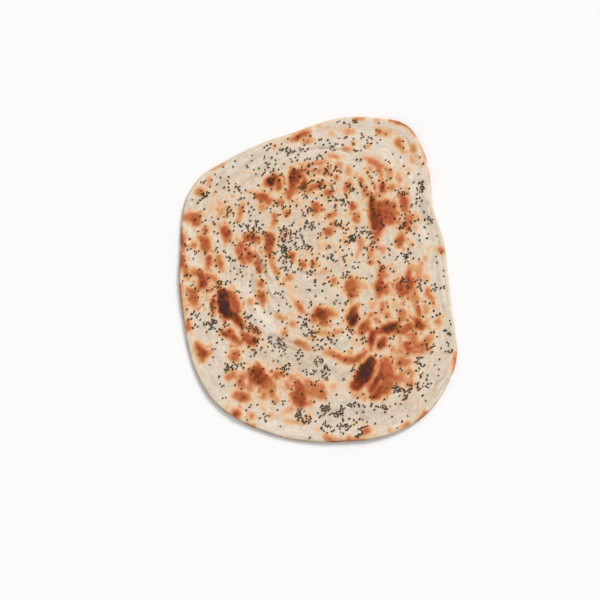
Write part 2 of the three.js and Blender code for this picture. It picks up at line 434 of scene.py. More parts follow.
# Each chain of knots below is one browned spot of the top. A knot has its x, its y, the half width of the
# browning there, and how far the crust is toasted in the middle, from 0, raw, to 1, black.
TOASTED_SPOTS: dict[str, list[list[Knot]]] = {
    "upper left": [
        [(-64, 90, 5, 0.54), (-58, 88, 6.4, 0.56), (-53, 84, 5.4, 0.44)],
        [(-60, 77, 5.6, 0.34)],
        [(-40.5, 83, 5.4, 0.46)],
        [(-33, 71, 4.8, 0.45)],
        [(-47, 68, 3.6, 0.46), (-47, 60, 3.4, 0.45), (-48, 55, 2, 0.3)],
        [(-29, 153, 2, 0.45), (-22, 156, 4, 0.6), (-14, 160, 4.3, 0.58), (-8, 163, 2.5, 0.35)],
        [(-15, 150, 1.5, 0.4), (-10, 152.5, 2.6, 0.45), (-4, 153, 2.5, 0.2)],
        [(-46, 145, 4, 0.2)],
        [(-37, 154, 2.5, 0.12), (-33, 151, 2, 0.2)],
        [(2, 169.5, 3, 0.2)],
        [(-55, 103, 3.2, 0.58), (-51, 106, 5.8, 0.88), (-46.5, 110.5, 3.5, 0.7)],
        [(-43, 113, 2, 0.4), (-42.5, 106, 4.8, 0.55), (-42, 99, 4, 0.6)],
        [(-37, 104, 2.5, 0.25)],
        [(-27, 97, 4.6, 0.52), (-27, 103, 5, 0.7), (-27, 110, 5, 0.76), (-26, 118.5, 4, 0.7)],
        [(-21, 117, 4, 0.7), (-22, 106, 3.5, 0.66)],
        [(-17, 118.5, 4.5, 0.5), (-12, 119.5, 3, 0.45)],
        [(-16, 111, 4.5, 0.5)],
        [(-5, 118, 3.2, 0.38)],
        [(-15, 100.5, 4.5, 0.8), (-13.5, 107, 3.2, 0.66)],
        [(-14, 122.5, 2, 0.4), (-7, 125.5, 1.6, 0.4), (5, 127.5, 2.4, 0.45), (10, 128.5, 2, 0.3)],
        [(-118, 108, 3.5, 0.3), (-119, 104, 3, 0.25)],
        [(-128.5, 95, 5.2, 0.47)],
        [(-103, 76, 2.6, 0.33), (-104.5, 72, 3, 0.4), (-107, 67.5, 2, 0.28)],
        [(-114, 76.5, 5, 0.14), (-106, 77.5, 4.5, 0.18), (-95, 76.5, 5, 0.16)],
        [(-99, 67, 3, 0.32), (-97, 72.5, 2.5, 0.25)],
        [(-81, 80.5, 2.2, 0.35), (-83, 74.5, 2.8, 0.45), (-84.5, 68, 3, 0.42), (-86, 63, 3.2, 0.38)],
        [(-88, 74.5, 4, 0.15)],
        [(-52, 94.5, 2.5, 0.25)],
        [(-31, 94.5, 4.6, 0.52), (-31, 89.5, 4.2, 0.54)],
        [(-27, 93.5, 3, 0.5)],
        [(-22, 81.5, 4, 0.22)],
        [(-19, 59.5, 3.5, 0.15)],
    ],
    "top": [
        [(16, 160.5, 4.5, 0.22)],
        [(30, 162.5, 2, 0.25), (34, 163, 2.8, 0.4), (40, 162.5, 2, 0.28)],
        [(27, 165.5, 2, 0.15)],
        [(42, 177, 2.5, 0.3), (49, 177.5, 2.8, 0.33)],
        [(66, 176, 3.8, 0.22)],
        [(69, 162.5, 4.3, 0.53), (74, 162.5, 2.5, 0.3)],
        [(39, 149.5, 2.8, 0.3)],
        [(30, 143, 2.4, 0.4), (34, 142.5, 2.6, 0.43), (37, 142, 2.2, 0.3)],
        [(56, 147, 2, 0.35), (57, 144, 3, 0.15)],
        [(13, 136, 2, 0.27), (18, 135, 2.8, 0.4), (23, 133, 2.4, 0.35)],
        [(15, 128.5, 4, 0.15)],
        [(21, 124, 2.4, 0.37), (24.5, 125.5, 3, 0.4), (26, 122.5, 2, 0.3)],
        [(34, 119.5, 3.6, 0.34), (34, 116, 3, 0.3)],
        [(10, 117, 2.6, 0.42), (12, 121.5, 2.6, 0.42)],
        [(2, 117.5, 3, 0.5)],
        [(5, 122.5, 3, 0.3), (12, 115, 4, 0.3)],
        [(51, 133, 2.4, 0.26), (57, 130.5, 4.4, 0.36), (63, 127.5, 5.4, 0.42), (69, 123, 5, 0.42)],
        [(66.5, 120, 4.2, 0.44), (69, 117.5, 3, 0.48)],
        [(58, 121, 4, 0.3)],
        [(56, 116, 2.4, 0.3)],
        [(48, 108, 4.2, 0.44)],
        [(36, 108, 2.5, 0.27), (34, 103, 4.8, 0.47), (32, 99, 4.2, 0.48), (31, 91.5, 1.8, 0.32)],
        [(21, 110.5, 2.8, 0.5)],
        [(18, 106, 3, 0.2)],
        [(25, 116, 2.5, 0.2)],
        [(57, 111, 2.5, 0.22), (61, 103, 3.2, 0.3)],
        [(-10, 94.5, 3.6, 0.42), (-5, 100, 4, 0.54), (1, 101, 4.2, 0.56), (5, 104, 3.5, 0.5)],
        [(71, 105, 2, 0.5), (71, 100, 4.2, 0.7), (71, 97, 3.5, 0.55)],
        [(52, 96, 3.8, 0.44), (51, 101, 2.6, 0.4)],
        [(66, 92.5, 5, 0.33), (72, 87.5, 3, 0.25)],
    ],
    "upper right": [
        [(92.5, 91, 3.6, 0.56), (95, 84, 5.8, 0.57), (95.5, 75, 5, 0.5)],
        [(100, 64.5, 7, 0.42)],
        [(92, 47, 3.5, 0.42), (90, 40.4, 5, 0.62), (89, 35, 3.6, 0.54)],
        [(134.5, 29.4, 3.8, 0.48)],
        [(75, 160, 4, 0.28), (80, 163, 4.5, 0.2)],
        [(89, 150.5, 5.2, 0.5), (90, 148.5, 4.2, 0.5), (93, 144.5, 3.6, 0.4), (95, 140.5, 2.5, 0.3)],
        [(105, 145, 3.6, 0.42), (105, 141.5, 3.6, 0.4)],
        [(103, 135, 2, 0.2), (104, 130, 3, 0.3)],
        [(113, 133, 2.5, 0.15)],
        [(100, 120, 4, 0.15)],
        [(118, 127, 4, 0.12), (109, 126, 3, 0.12)],
        [(76, 122, 3, 0.25), (79, 118, 4.5, 0.4), (79, 112.5, 5, 0.28)],
        [(89, 113.5, 2.5, 0.3), (90, 108.5, 3.6, 0.38)],
        [(71.5, 101, 3.8, 0.6), (72, 97, 4, 0.6)],
        [(81.5, 99.5, 4.8, 0.44)],
        [(77, 99, 3, 0.34)],
        [(97, 99, 3, 0.25)],
        [(88, 61.5, 3.2, 0.42)],
        [(106, 55, 4.5, 0.22)],
        [(109, 66, 4.2, 0.27)],
        [(96, 57.5, 4.6, 0.58), (98, 53, 3, 0.5)],
        [(96, 41, 4, 0.26)],
        [(102, 36, 3.6, 0.3)],
        [(117, 20.5, 3, 0.3)],
        [(120, 30.5, 2.5, 0.15)],
    ],
    "square bubble": [
        [(60, 83, 5.2, 0.74), (60.6, 74, 5.4, 0.8), (61.6, 65, 5.4, 0.78), (63, 56, 5.4, 0.69)],
        [(68, 80, 5.6, 0.6), (68, 68, 5.6, 0.64), (68, 56, 6, 0.63)],
        [(76, 80, 7, 0.53), (77, 68, 7.4, 0.54), (77, 62.5, 6.8, 0.49)],
        [(82.5, 80, 5.2, 0.47), (83.5, 70, 5.4, 0.46), (82, 62, 5, 0.45)],
        [(66.5, 50, 5, 0.56), (64, 45, 4.2, 0.5), (62.5, 39, 3, 0.38)],
        [(51, 95, 3.5, 0.3), (56, 91, 4.2, 0.42), (61, 88, 4.4, 0.54)],
    ],
    "left": [
        [(-143, 66, 5, 0.4), (-138, 66, 6.5, 0.48), (-132, 65, 6.2, 0.56), (-131.5, 60, 4.6, 0.56)],
        [(-121.5, 51.5, 5, 0.46)],
        [(-126, 43, 5, 0.46), (-122, 40, 6.5, 0.52), (-121, 33, 6.6, 0.54), (-120.5, 28, 4, 0.36)],
        [(-134.5, 35, 3.6, 0.5)],
        [(-106, 57, 4, 0.28)],
        [(-101, 53, 5.5, 0.54), (-98.5, 48, 5.5, 0.6), (-98, 41, 4, 0.48)],
        [(-147.5, 47, 3.4, 0.62), (-147, 38, 3.6, 0.62), (-146, 29, 2.6, 0.4)],
        [(-143.5, 11, 3.4, 0.46), (-141, 4, 4, 0.5), (-140, -1, 3, 0.42)],
        [(-118, 21, 4.2, 0.54), (-117.5, 15, 4.2, 0.54), (-119, 9, 3.6, 0.4)],
        [(-107, 21, 4.4, 0.44), (-105.5, 14, 4.8, 0.46), (-104, 8, 3.6, 0.38)],
        [(-134, 6, 4, 0.5), (-127, 3, 5.5, 0.55), (-124, -2, 6.5, 0.6), (-124, -8, 6, 0.62)],
        [(-124, -8, 6, 0.62), (-128, -12, 4, 0.45)],
        [(-119, 1, 5, 0.45), (-113, -1, 4, 0.42), (-108, -6, 3.6, 0.36), (-105, -11, 3, 0.3)],
        [(-77, 43, 5, 0.52), (-71, 44.5, 6.2, 0.6), (-66, 41, 5, 0.5)],
        [(-83, 36, 4.8, 0.5), (-84.5, 29, 5, 0.5), (-82.5, 22, 4.8, 0.5), (-79.5, 16, 4, 0.45)],
        [(-77, 30, 4, 0.4), (-74, 24, 6, 0.55), (-73, 18, 4.6, 0.48)],
        [(-68, 22, 4, 0.32)],
        [(-66.5, 24, 2.2, 0.5), (-64.3, 16, 2.8, 0.66), (-62.8, 7, 2.8, 0.6)],
        [(-52, 44, 6.2, 0.6), (-52.2, 38, 6, 0.68), (-53, 30, 5, 0.58), (-53, 25, 4.4, 0.5)],
        [(-61.5, -8, 4.8, 0.5)],
        [(-128, 70.5, 3, 0.35)],
        [(-126, 26.5, 3.5, 0.18)],
        [(-147, 21.5, 3.4, 0.62), (-147, 12.5, 3.6, 0.62)],
        [(-58, 43, 4, 0.32), (-55, 48, 3, 0.25)],
        [(-52, 22.5, 3, 0.42), (-50, 19.5, 3.4, 0.38), (-48.5, 13.5, 3.4, 0.4), (-44, 5, 3.2, 0.43)],
        [(-44, 5, 3.2, 0.43), (-41, 2, 2, 0.3)],
        [(-115, -12.5, 5.5, 0.26)],
        [(-139, -14.5, 4, 0.47), (-134, -17.5, 6, 0.5), (-134, -22.5, 7, 0.55), (-133, -29.5, 4, 0.46)],
        [(-132, -34.5, 3, 0.25)],
        [(-119, -21.5, 3.5, 0.22), (-119, -25.5, 2.5, 0.25)],
        [(-143, -23.5, 3, 0.2), (-142, -37.5, 4, 0.2)],
        [(-139.5, -50, 3.4, 0.42), (-138.5, -56, 4, 0.46)],
        [(-111.5, -28, 4.4, 0.58), (-112, -34, 4, 0.47), (-112, -41, 3.4, 0.32)],
        [(-58.5, -16.5, 1.8, 0.5)],
        [(-60.5, -20.5, 4.8, 0.62), (-59, -25.5, 4.6, 0.54), (-58, -29, 3.2, 0.42)],
        [(-72, -27.5, 4.8, 0.34)],
    ],
    "left burn": [
        [
            (-101.5, -19, 6.4, 0.84), (-101.5, -27, 7.4, 0.9), (-100, -35, 7.4, 0.94),
            (-97.5, -41, 6.2, 0.88),
        ],
        [(-104.5, -17, 4.6, 0.68), (-105, -26, 4.2, 0.74), (-103.5, -34, 4, 0.72)],
        [(-95, -19, 5.6, 0.55), (-90, -27, 6.4, 0.56), (-87.5, -35, 6.2, 0.56), (-90, -41, 5.4, 0.62)],
        [(-93, -41, 6, 0.78), (-88, -45, 5.6, 0.74), (-84, -50, 5, 0.69), (-80.5, -55, 4.2, 0.56)],
    ],
    "middle": [
        [(8, -81.5, 2.4, 0.36), (14, -83, 3.6, 0.45), (22, -87, 4, 0.5), (30, -90.5, 4.2, 0.54)],
        [(30, -90.5, 4.2, 0.54), (38, -91.5, 4.2, 0.6), (44, -89, 4, 0.62), (52, -82, 3, 0.5)],
        [(18, 70, 3.4, 0.45), (13, 67, 4, 0.48)],
        [(12.4, 50.3, 5.8, 0.52)],
        [(-15.7, 14, 5, 0.52)],
        [(-3.8, 14, 5, 0.46)],
        [(-35, -3, 3.4, 0.32), (-29.7, -1.3, 3.8, 0.45)],
        [(17.8, -4.6, 4.8, 0.44)],
        [(-36, 45, 6.5, 0.2)],
        [(-28, 23.5, 4.6, 0.58), (-27, 20, 3.6, 0.5)],
        [(-9, 27.5, 5, 0.15)],
        [(-1.5, 78.5, 5.2, 0.55), (-1.5, 74.5, 5.2, 0.58)],
        [(3.5, 76.5, 3.5, 0.42)],
        [(-5, 70.5, 2, 0.3), (-3, 67, 2.5, 0.2)],
        [(12.4, 93.6, 5.4, 0.52)],
        [(16.5, 60, 3.2, 0.34), (16.5, 53, 2, 0.36)],
        [(39, 78, 4.9, 0.58)],
        [(43, 68, 4.4, 0.46), (42.5, 64, 4.9, 0.5)],
        [(30, 42, 3.4, 0.26), (32, 36, 3.2, 0.25)],
        [(47, 38.5, 4.2, 0.4), (48, 33, 3.4, 0.34), (45, 27, 3, 0.25), (43, 22, 3, 0.22)],
        [(27, 57, 3.6, 0.22), (34, 51, 5, 0.15)],
        [(33, 69.5, 4, 0.15)],
        [(20, 82.5, 3, 0.18)],
        [(59, 31, 2.6, 0.38), (58, 28, 3.6, 0.4), (58, 24.5, 3.6, 0.35)],
        [(58, 16.5, 3.6, 0.47)],
        [(65, 33, 3.2, 0.36), (72, 30.5, 3.6, 0.34), (71, 26.5, 2.6, 0.28)],
        [(5, 35, 6, 0.15), (12, 35, 3, 0.2), (18, 34, 4, 0.15), (22, 27.5, 4, 0.12)],
        [(4, 43, 3, 0.15)],
        [(30, 20.5, 4, 0.12)],
        [(-37, -6.5, 4, 0.15), (-27, -13.5, 5, 0.12)],
        [(-45, -41.5, 2, 0.3), (-41, -44.5, 2.9, 0.42), (-37, -46, 2.6, 0.4), (-34, -45.5, 1.6, 0.4)],
        [(-26.5, -51.5, 4.5, 0.38)],
        [(-27, -41.5, 3, 0.15)],
        [(-31, -19.5, 3, 0.15), (-23, -27.5, 2, 0.2)],
        [(-22, -29, 3.5, 0.43), (-19, -33.5, 4.4, 0.49), (-16.5, -37.5, 3.4, 0.42)],
        [(-35.5, -61.5, 4.8, 0.4)],
        [(4, 5.5, 2.5, 0.25), (8, 7.5, 2.4, 0.3)],
        [(36, -1.5, 4.6, 0.43), (37, -7.5, 6.8, 0.51), (36, -13.5, 7.2, 0.55), (37, -19.5, 5.6, 0.5)],
        [(37, -19.5, 5.6, 0.5), (36.5, -23.5, 3, 0.38)],
        [(33, -11.5, 3.6, 0.58)],
        [(43, -3.5, 4, 0.38), (43, -14.5, 4.5, 0.36)],
        [(48, -8.5, 6, 0.18), (53, -11.5, 3, 0.25)],
        [(-4, -43.5, 4.4, 0.58), (2, -39.5, 6.4, 0.76), (5.5, -42.5, 6.8, 0.72), (6, -47, 5.6, 0.58)],
        [(9, -38.5, 5.2, 0.6), (15, -40, 5, 0.48), (20, -41, 3.4, 0.36)],
        [(-3, -47.5, 4, 0.54)],
        [(5, -50, 4.8, 0.52), (8, -52, 4, 0.45), (13, -52, 3, 0.3)],
        [
            (44, -30.5, 3, 0.38), (40, -34.5, 4, 0.58), (38, -39.5, 5.8, 0.74), (39, -45.5, 6.2, 0.82),
            (37, -50.5, 5.2, 0.8),
        ],
        [(37, -50.5, 4.5, 0.8), (36, -54.5, 3, 0.55)],
        [(34, -44.5, 3.6, 0.7)],
        [(56, -45.5, 2.6, 0.36), (53, -50.5, 5, 0.52), (50, -55.5, 6.6, 0.6), (47, -60.5, 5, 0.46)],
        [(55, -57.5, 4.5, 0.48)],
        [(63, -46.5, 3.4, 0.42), (66, -50, 3, 0.36)],
        [(57.5, -27.5, 2.5, 0.22), (59, -32.5, 2.7, 0.33)],
        [(58.5, -41.5, 3.2, 0.46)],
        [
            (-1, -60, 3, 0.38), (4, -61.5, 3.2, 0.38), (14, -62.5, 3, 0.35), (22, -60.5, 3, 0.38),
            (26, -58.5, 2, 0.3),
        ],
        [(-22, -71, 3.4, 0.48), (-16, -74.5, 3.6, 0.48), (-10, -78, 2.8, 0.4), (-6, -80, 2.2, 0.24)],
        [(-9, -66.5, 2.4, 0.25), (-4, -68.5, 2.4, 0.25)],
        [(34, -86, 1.7, 0.32), (36, -81, 1.6, 0.28)],
        [(42, -72, 7, 0.14)],
    ],
    "right": [
        [(69, 12, 3.4, 0.4), (69.5, 6, 4.6, 0.48), (69, 0, 4.2, 0.5), (67.5, -6, 4.6, 0.56)],
        [(66, -9, 4.6, 0.64), (67.5, -14, 5.6, 0.66), (66.5, -21, 4.2, 0.46)],
        [(74, -11, 5, 0.5), (74, -17, 4.4, 0.44)],
        [(120, -14, 3, 0.42), (119.3, -18.8, 3.6, 0.45), (123, -23, 3.4, 0.45), (126, -32, 2.6, 0.32)],
        [(74, 1.5, 4, 0.42)],
        [(70, -29.5, 2.6, 0.43), (69.5, -35.5, 2.8, 0.49), (70, -39.5, 2, 0.3)],
        [(74, -33.5, 3, 0.25), (66, -41.5, 5, 0.18)],
        [(76, 10.5, 3.6, 0.25)],
        [(100, 9.5, 2.6, 0.4), (98.5, 4.5, 3.4, 0.58), (98, -1.5, 3.8, 0.6)],
        [(91, -6.5, 4.4, 0.6), (90, -11.5, 6.8, 0.58), (92, -16.5, 6.2, 0.58), (92, -20.5, 3.6, 0.5)],
        [(99.5, -8.5, 6, 0.58), (97, -15.5, 6, 0.5)],
        [(103, -3.5, 4, 0.49), (103, -10.5, 4, 0.44), (105, -17.5, 4, 0.38)],
        [(100, -21.5, 6.5, 0.31), (107, -24, 5, 0.38), (106, -29.5, 4, 0.35)],
        [(104, 10.5, 5, 0.28), (111, 8.5, 4.5, 0.3), (110, 1.5, 5, 0.36)],
        [(117, -0.5, 5, 0.22)],
        [(112, 14.5, 3, 0.33)],
        [(83, -25.5, 3, 0.2), (85, -30.5, 5.5, 0.2)],
        [(91, -39.5, 5.2, 0.43), (91, -44.5, 5.2, 0.43)],
        [(75.5, -42.5, 3.7, 0.43), (75, -35.5, 4, 0.25)],
        [(109, -34.5, 3.4, 0.55), (109, -40.5, 3.4, 0.56)],
        [(116.5, -32.5, 2.7, 0.36), (117, -37.5, 2.9, 0.39)],
        [(104, -46.5, 3.2, 0.46), (109, -49.5, 5.6, 0.68), (111, -53.5, 5.6, 0.63)],
        [(115.5, -51, 4, 0.4)],
        [(131, -44.5, 2.6, 0.26), (129, -49.5, 3, 0.43), (130, -55.5, 2, 0.22)],
        [(132, -50.5, 3, 0.34)],
        [(73, -57, 5.5, 0.7), (78, -55.5, 6, 0.86), (82, -54.5, 5, 0.82), (85.5, -52, 3.6, 0.62)],
        [(58.5, -61, 3, 0.52), (66, -59.5, 3.8, 0.64), (73, -57.5, 4.6, 0.75), (76, -60.5, 4, 0.72)],
        [(84, -59.5, 4.5, 0.55), (93, -58.5, 5.2, 0.54), (99, -54.5, 5.2, 0.53), (104, -53.5, 4, 0.5)],
        [(106, -57.5, 3, 0.4)],
        [(60.5, -62, 3.6, 0.68), (58.5, -68, 4.7, 0.75), (57.5, -75, 3.4, 0.6), (58, -79.5, 2.8, 0.46)],
        [(53, -74, 2.5, 0.3)],
        [(71.5, -69, 4.6, 0.6), (68.5, -73, 5.6, 0.7), (66.5, -76.5, 4, 0.58)],
        [(64.5, -69, 3, 0.3), (74.5, -66, 4, 0.25)],
        [(96, -74, 4.6, 0.54), (98, -79, 5, 0.57)],
        [(98.5, -64, 4.5, 0.4), (105.5, -64, 3.6, 0.4)],
        [(103.5, -70, 6, 0.43), (106.5, -75, 5, 0.45), (114.5, -75, 5.4, 0.43), (119.5, -68, 5, 0.4)],
        [(122.5, -64, 3, 0.3)],
        [(103.5, -81, 5.2, 0.42), (109.5, -80, 5, 0.42), (118.5, -78, 4, 0.38)],
        [(90, -80.5, 4.4, 0.4), (91, -76, 3, 0.28)],
        [(96.5, -85, 4, 0.32)],
        [(82.5, -76, 3, 0.28), (80.5, -79, 3.6, 0.39), (84.5, -82, 2.6, 0.36)],
        [(91.5, -88, 2, 0.45), (90, -93.5, 5.6, 0.52), (96.5, -93, 5.2, 0.44)],
        [(87.5, -95, 4, 0.58)],
    ],
    "right burn": [
        [(57, -93, 6.6, 0.8), (52.5, -101, 9, 0.91), (48.5, -109.5, 8.4, 0.88), (42.5, -117.5, 7, 0.68)],
        [(39, -118.5, 5.6, 0.62)],
        [(66, -93, 3, 0.38), (61.5, -103, 3, 0.41), (57, -111.5, 3, 0.42), (54, -118, 3.4, 0.42)],
        [
            (68.6, -95, 3, 0.62), (69, -105, 4, 0.66), (64.5, -112, 5, 0.7), (60, -117.5, 4.6, 0.66),
            (57.5, -124, 4.4, 0.6),
        ],
        [(67.5, -119.5, 4.4, 0.64), (63.5, -128, 5.6, 0.67), (59, -130.5, 4.6, 0.62)],
        [(74, -91.5, 5.6, 0.47), (76, -104, 7, 0.51), (75, -114, 7.6, 0.54), (71.5, -124, 6.2, 0.56)],
        [(85, -111, 6.6, 0.45), (91, -109, 5, 0.36)],
        [(89, -105.5, 3, 0.36), (97.5, -102.5, 3.2, 0.4), (102, -104.5, 2.8, 0.34)],
        [(94.5, -113, 4.4, 0.28), (100, -116, 4.8, 0.4)],
        [(40, -127, 5, 0.28), (50, -129, 5, 0.28)],
    ],
    "lower left": [
        [
            (-129, -72.5, 3.2, 0.46), (-127.5, -78.5, 5.2, 0.58), (-124, -83.5, 6.8, 0.62),
            (-124, -89.5, 4.2, 0.5),
        ],
        [(-119, -83.5, 4.8, 0.54), (-114, -82.5, 3, 0.32)],
        [(-90, -82.5, 4.4, 0.4), (-89, -87.5, 6.6, 0.46)],
        [(-87, -82.5, 4, 0.46)],
        [(-101, -61, 4.6, 0.5), (-95, -62, 6.8, 0.57), (-89.5, -67.5, 4.8, 0.57), (-83, -72, 4, 0.5)],
        [(-77, -66, 6, 0.54), (-71, -70, 7.2, 0.57)],
        [(-70, -59, 3.4, 0.46)],
        [(-78, -52.5, 3, 0.35)],
        [(-66, -58.5, 3.6, 0.44), (-63.5, -63, 3, 0.4)],
        [(-57, -75.5, 4, 0.15)],
        [(-95, -109, 4.8, 0.42), (-90, -105.5, 4.6, 0.44)],
        [(-83, -114, 4.8, 0.46), (-81, -118, 4.4, 0.44)],
        [(-65, -98.5, 5, 0.55), (-70, -104.5, 6.4, 0.56), (-68, -110.5, 6, 0.6)],
        [(-63, -104.5, 7.4, 0.66), (-62, -111.5, 8.4, 0.66)],
        [(-57, -117.5, 6.2, 0.53), (-56, -111.5, 6.4, 0.56), (-52, -114.5, 5.4, 0.5)],
        [(-48.5, -120, 5.4, 0.47), (-49.5, -127, 5, 0.43), (-44, -134, 3.4, 0.32)],
        [(-57, -124, 5, 0.39), (-58, -130, 3.5, 0.4)],
        [(-81, -109, 4.6, 0.46), (-76, -107, 4.4, 0.43)],
        [(-72, -121, 4.6, 0.38), (-71, -114, 4, 0.44)],
        [(-44.5, -107.5, 4.7, 0.51), (-39, -106, 4.4, 0.46)],
        [(-42, -103.5, 5, 0.28)],
        [(-87, -128.5, 4.4, 0.47), (-81, -130.5, 6.6, 0.53), (-77, -131, 6.2, 0.5)],
        [(-96, -141, 4, 0.15)],
        [(-87, -148.5, 5.6, 0.6)],
        [(-70, -151, 3.6, 0.42)],
        [(-50, -150, 4.2, 0.2)],
        [(-57, -143, 4, 0.14), (-62, -137, 2.5, 0.15)],
    ],
    "bottom": [
        [(-28, -143.5, 3.7, 0.3), (-36, -148, 4, 0.16)],
        [(-27, -110.5, 4.7, 0.36)],
        [(-22, -115.5, 5.2, 0.49), (-19, -121, 7.2, 0.56), (-18, -129, 7.4, 0.62), (-18, -136, 6.6, 0.63)],
        [(-26, -128, 4.6, 0.5), (-23, -134, 5, 0.57)],
        [(-10, -117, 6.4, 0.4), (-3, -120, 6.8, 0.38), (3, -121, 6.6, 0.4)],
        [(-9, -126, 6, 0.42), (0, -126, 7, 0.4), (5, -128, 6, 0.47)],
        [(-6, -132, 4, 0.3)],
        [(-31.5, -117, 4.4, 0.38)],
        [
            (-34, -156.5, 2.6, 0.24), (-28, -157, 2.8, 0.26), (-20, -157.5, 2.8, 0.25),
            (-12, -157, 2.6, 0.22),
        ],
        [(-10, -152, 4, 0.22)],
        [(0, -165.5, 4, 0.13)],
        [(17, -119, 4.4, 0.24)],
        [(-8, -137, 4.4, 0.37)],
        [(9, -173.5, 3.6, 0.42), (12, -177, 3.6, 0.52)],
        [(33, -175.5, 3.2, 0.43), (37, -177.5, 2.6, 0.36)],
        [(45, -177.5, 2, 0.36), (50, -177.5, 2, 0.32)],
        [(52, -167, 4.2, 0.54), (57, -163.5, 2.5, 0.2)],
        [(60, -172.5, 4, 0.14)],
        [(87, -165.5, 2, 0.25), (92, -164.5, 3.6, 0.43), (96, -162, 4.2, 0.46), (99, -160.5, 2.6, 0.36)],
        [(77, -166.5, 3, 0.25)],
        [(38, -159.5, 3, 0.15)],
    ],
}

# Stretches of the rim's wall that are toasted more than the rest of it, in the same way.
TOASTED_WALL: list[list[Knot]] = [
    [
        (80, 176, 1.6, 0.62), (90, 173, 1.9, 0.8), (98, 170, 2.3, 1), (104, 165, 2.2, 0.95),
        (110, 158, 1.9, 0.7),
    ],
    [(113, 153, 2, 0.42), (116, 145, 2.5, 0.5), (119, 137, 2.5, 0.58), (121, 131, 2, 0.4)],
    [(123, 122, 2, 0.3), (124, 114, 2.5, 0.42), (125, 105, 2, 0.3)],
    [(-117, 120, 1.2, 0.45), (-103, 126, 1.4, 0.45)],
    [(-149, 52, 2.5, 0.7), (-149, 38, 2.5, 0.74)],
    [(-149, 26, 2.5, 0.68), (-149, 14, 2.5, 0.68)],
    [(-149, -10, 3, 0.6), (-149, -30, 3.5, 0.62), (-146, -45, 3, 0.5)],
    [(-74, -161, 2.5, 0.7), (-70, -163, 3, 0.85)],
    [(16, -180, 3.5, 0.9), (30, -180, 3.5, 0.62), (48, -178, 3, 0.55)],
    [(107, -157, 2.5, 0.7), (115, -149, 2.5, 0.66)],
    [(149, -84, 2.5, 0.45), (147, -104, 2.5, 0.58)],
]

# Lines where two turns of the coil meet. Each knot has its x, its y, the line's half width and its rise,
# which is negative for a groove.
FOLDS: list[list[Knot]] = [
    [(-68, 26.5, 1.4, -0.5), (-62, 15.5, 1.5, -0.8), (-57, 6.5, 2.4, -0.6), (-52, -5.5, 3, -0.3)],
    [(-60, 35, 2.4, 0.3), (-56, 15.5, 2.4, 0.7), (-50, -0.5, 2.2, 0.3)],
    [(-20, 6, 1.5, -0.3), (-8, 3, 1.7, -0.5), (8, 3, 1.5, -0.3)],
    [(-57, -11.5, 1.3, -0.4), (-48, -23.5, 1.3, -0.5)],
    [(-61, -30.5, 1.2, -0.5), (-52, -41.5, 1.2, -0.4)],
    [(-78, -11.5, 5, 0.4), (-72, -31.5, 6, 0.6), (-60, -47.5, 6, 0.6), (-45, -59.5, 5, 0.3)],
    [(-70, 2.5, 2.4, -0.3), (-70, -17.5, 2.6, -0.5), (-63, -29.5, 2, -0.3)],
    [(-37, -74.5, 1.6, -0.5), (-22, -79.5, 1.6, -0.3)],
    [(-51, -63.5, 2, -0.3), (-30, -71.5, 2, -0.4), (3, -77.5, 2, -0.3)],
    [(3, 143, 1.6, -0.8), (12, 143.5, 1.2, -0.7), (26, 142, 1, -0.5), (37, 136.5, 1, -0.4)],
    [(-22, 137.5, 1.4, -0.4), (3, 146, 1.4, -0.4)],
    [(-64, 135.5, 2, -0.15), (-78, 124.5, 2.4, -0.28), (-95, 110, 2.4, -0.22), (-115, 101, 2, -0.15)],
    [(-48, 130.5, 2, -0.1), (-66, 114, 2.2, -0.22), (-90, 97, 2.4, -0.15)],
    [(114, 100, 2.6, -0.06), (116, 79.5, 3.2, -0.14), (113, 59, 2.6, -0.06)],
    [(121, 100, 2.2, 0.3), (124, 79.5, 2.4, 0.5), (126, 63, 2, 0.3)],
    [(128, 57, 1.3, -0.3), (133, 35, 1.3, -0.4), (137, 6.5, 1.3, -0.3), (140, -25.5, 1.3, -0.3)],
    [(137, -107.5, 1.1, -0.4), (128, -116.5, 1.1, -0.5), (120, -125, 1.1, -0.3)],
    [(142, -106.5, 1, -0.3), (134, -120, 1, -0.4), (125, -131, 1, -0.3)],
    [(64, -94.5, 1.6, 0.5), (60, -109.5, 1.6, 0.6), (55, -121, 1.6, 0.4)],
    [(84, -102.5, 1.6, 0.5), (95, -100, 1.6, 0.5), (104, -98.5, 1.4, 0.3)],
]

# Paler and darker stretches of the raw dough. Each knot has its x, its y, its half width and how much paler
# the dough is there, which is negative where it is darker.
TONES: list[list[Knot]] = [
    [(-63, 40, 2.5, 0.4), (-60, 24, 2.5, 0.4), (-51, 2, 2.5, 0.4), (-46, -14, 2.5, 0.4)],
    [(20, 139, 26, 0.22), (60, 159.5, 22, 0.28), (95, 133.5, 20, 0.25), (100, 98, 12, 0.2)],
    [(113, 138, 11, 0.5)],
    [(139, 20, 8, 0.35), (142, -20, 8, 0.25)],
    [(25, -162.5, 12, 0.15), (-30, -164.5, 12, 0.25), (-85, -148, 14, 0.22), (-115, -113.5, 14, 0)],
    [(-138, 47, 12, 0.25), (-135, 16.5, 12, 0.2)],
    [(-78, -14.5, 7, 0.3), (-60, -47.5, 8, 0.3), (-46, -58.5, 7, 0.2)],
    [(-38, 49, 16, -0.25), (-22, 18.5, 14, -0.2)],
    [(-58, -71.5, 10, -0.2), (-25, -93.5, 14, -0.25), (15, -105.5, 14, -0.2)],
    [(25, -143, 14, -0.2), (60, -149, 16, -0.15), (95, -135, 14, -0.15)],
    [(25, 37, 22, 0.12)],
    [(127, 63, 8, -0.8)],
    [(20, 87.5, 20, -0.1)],
]

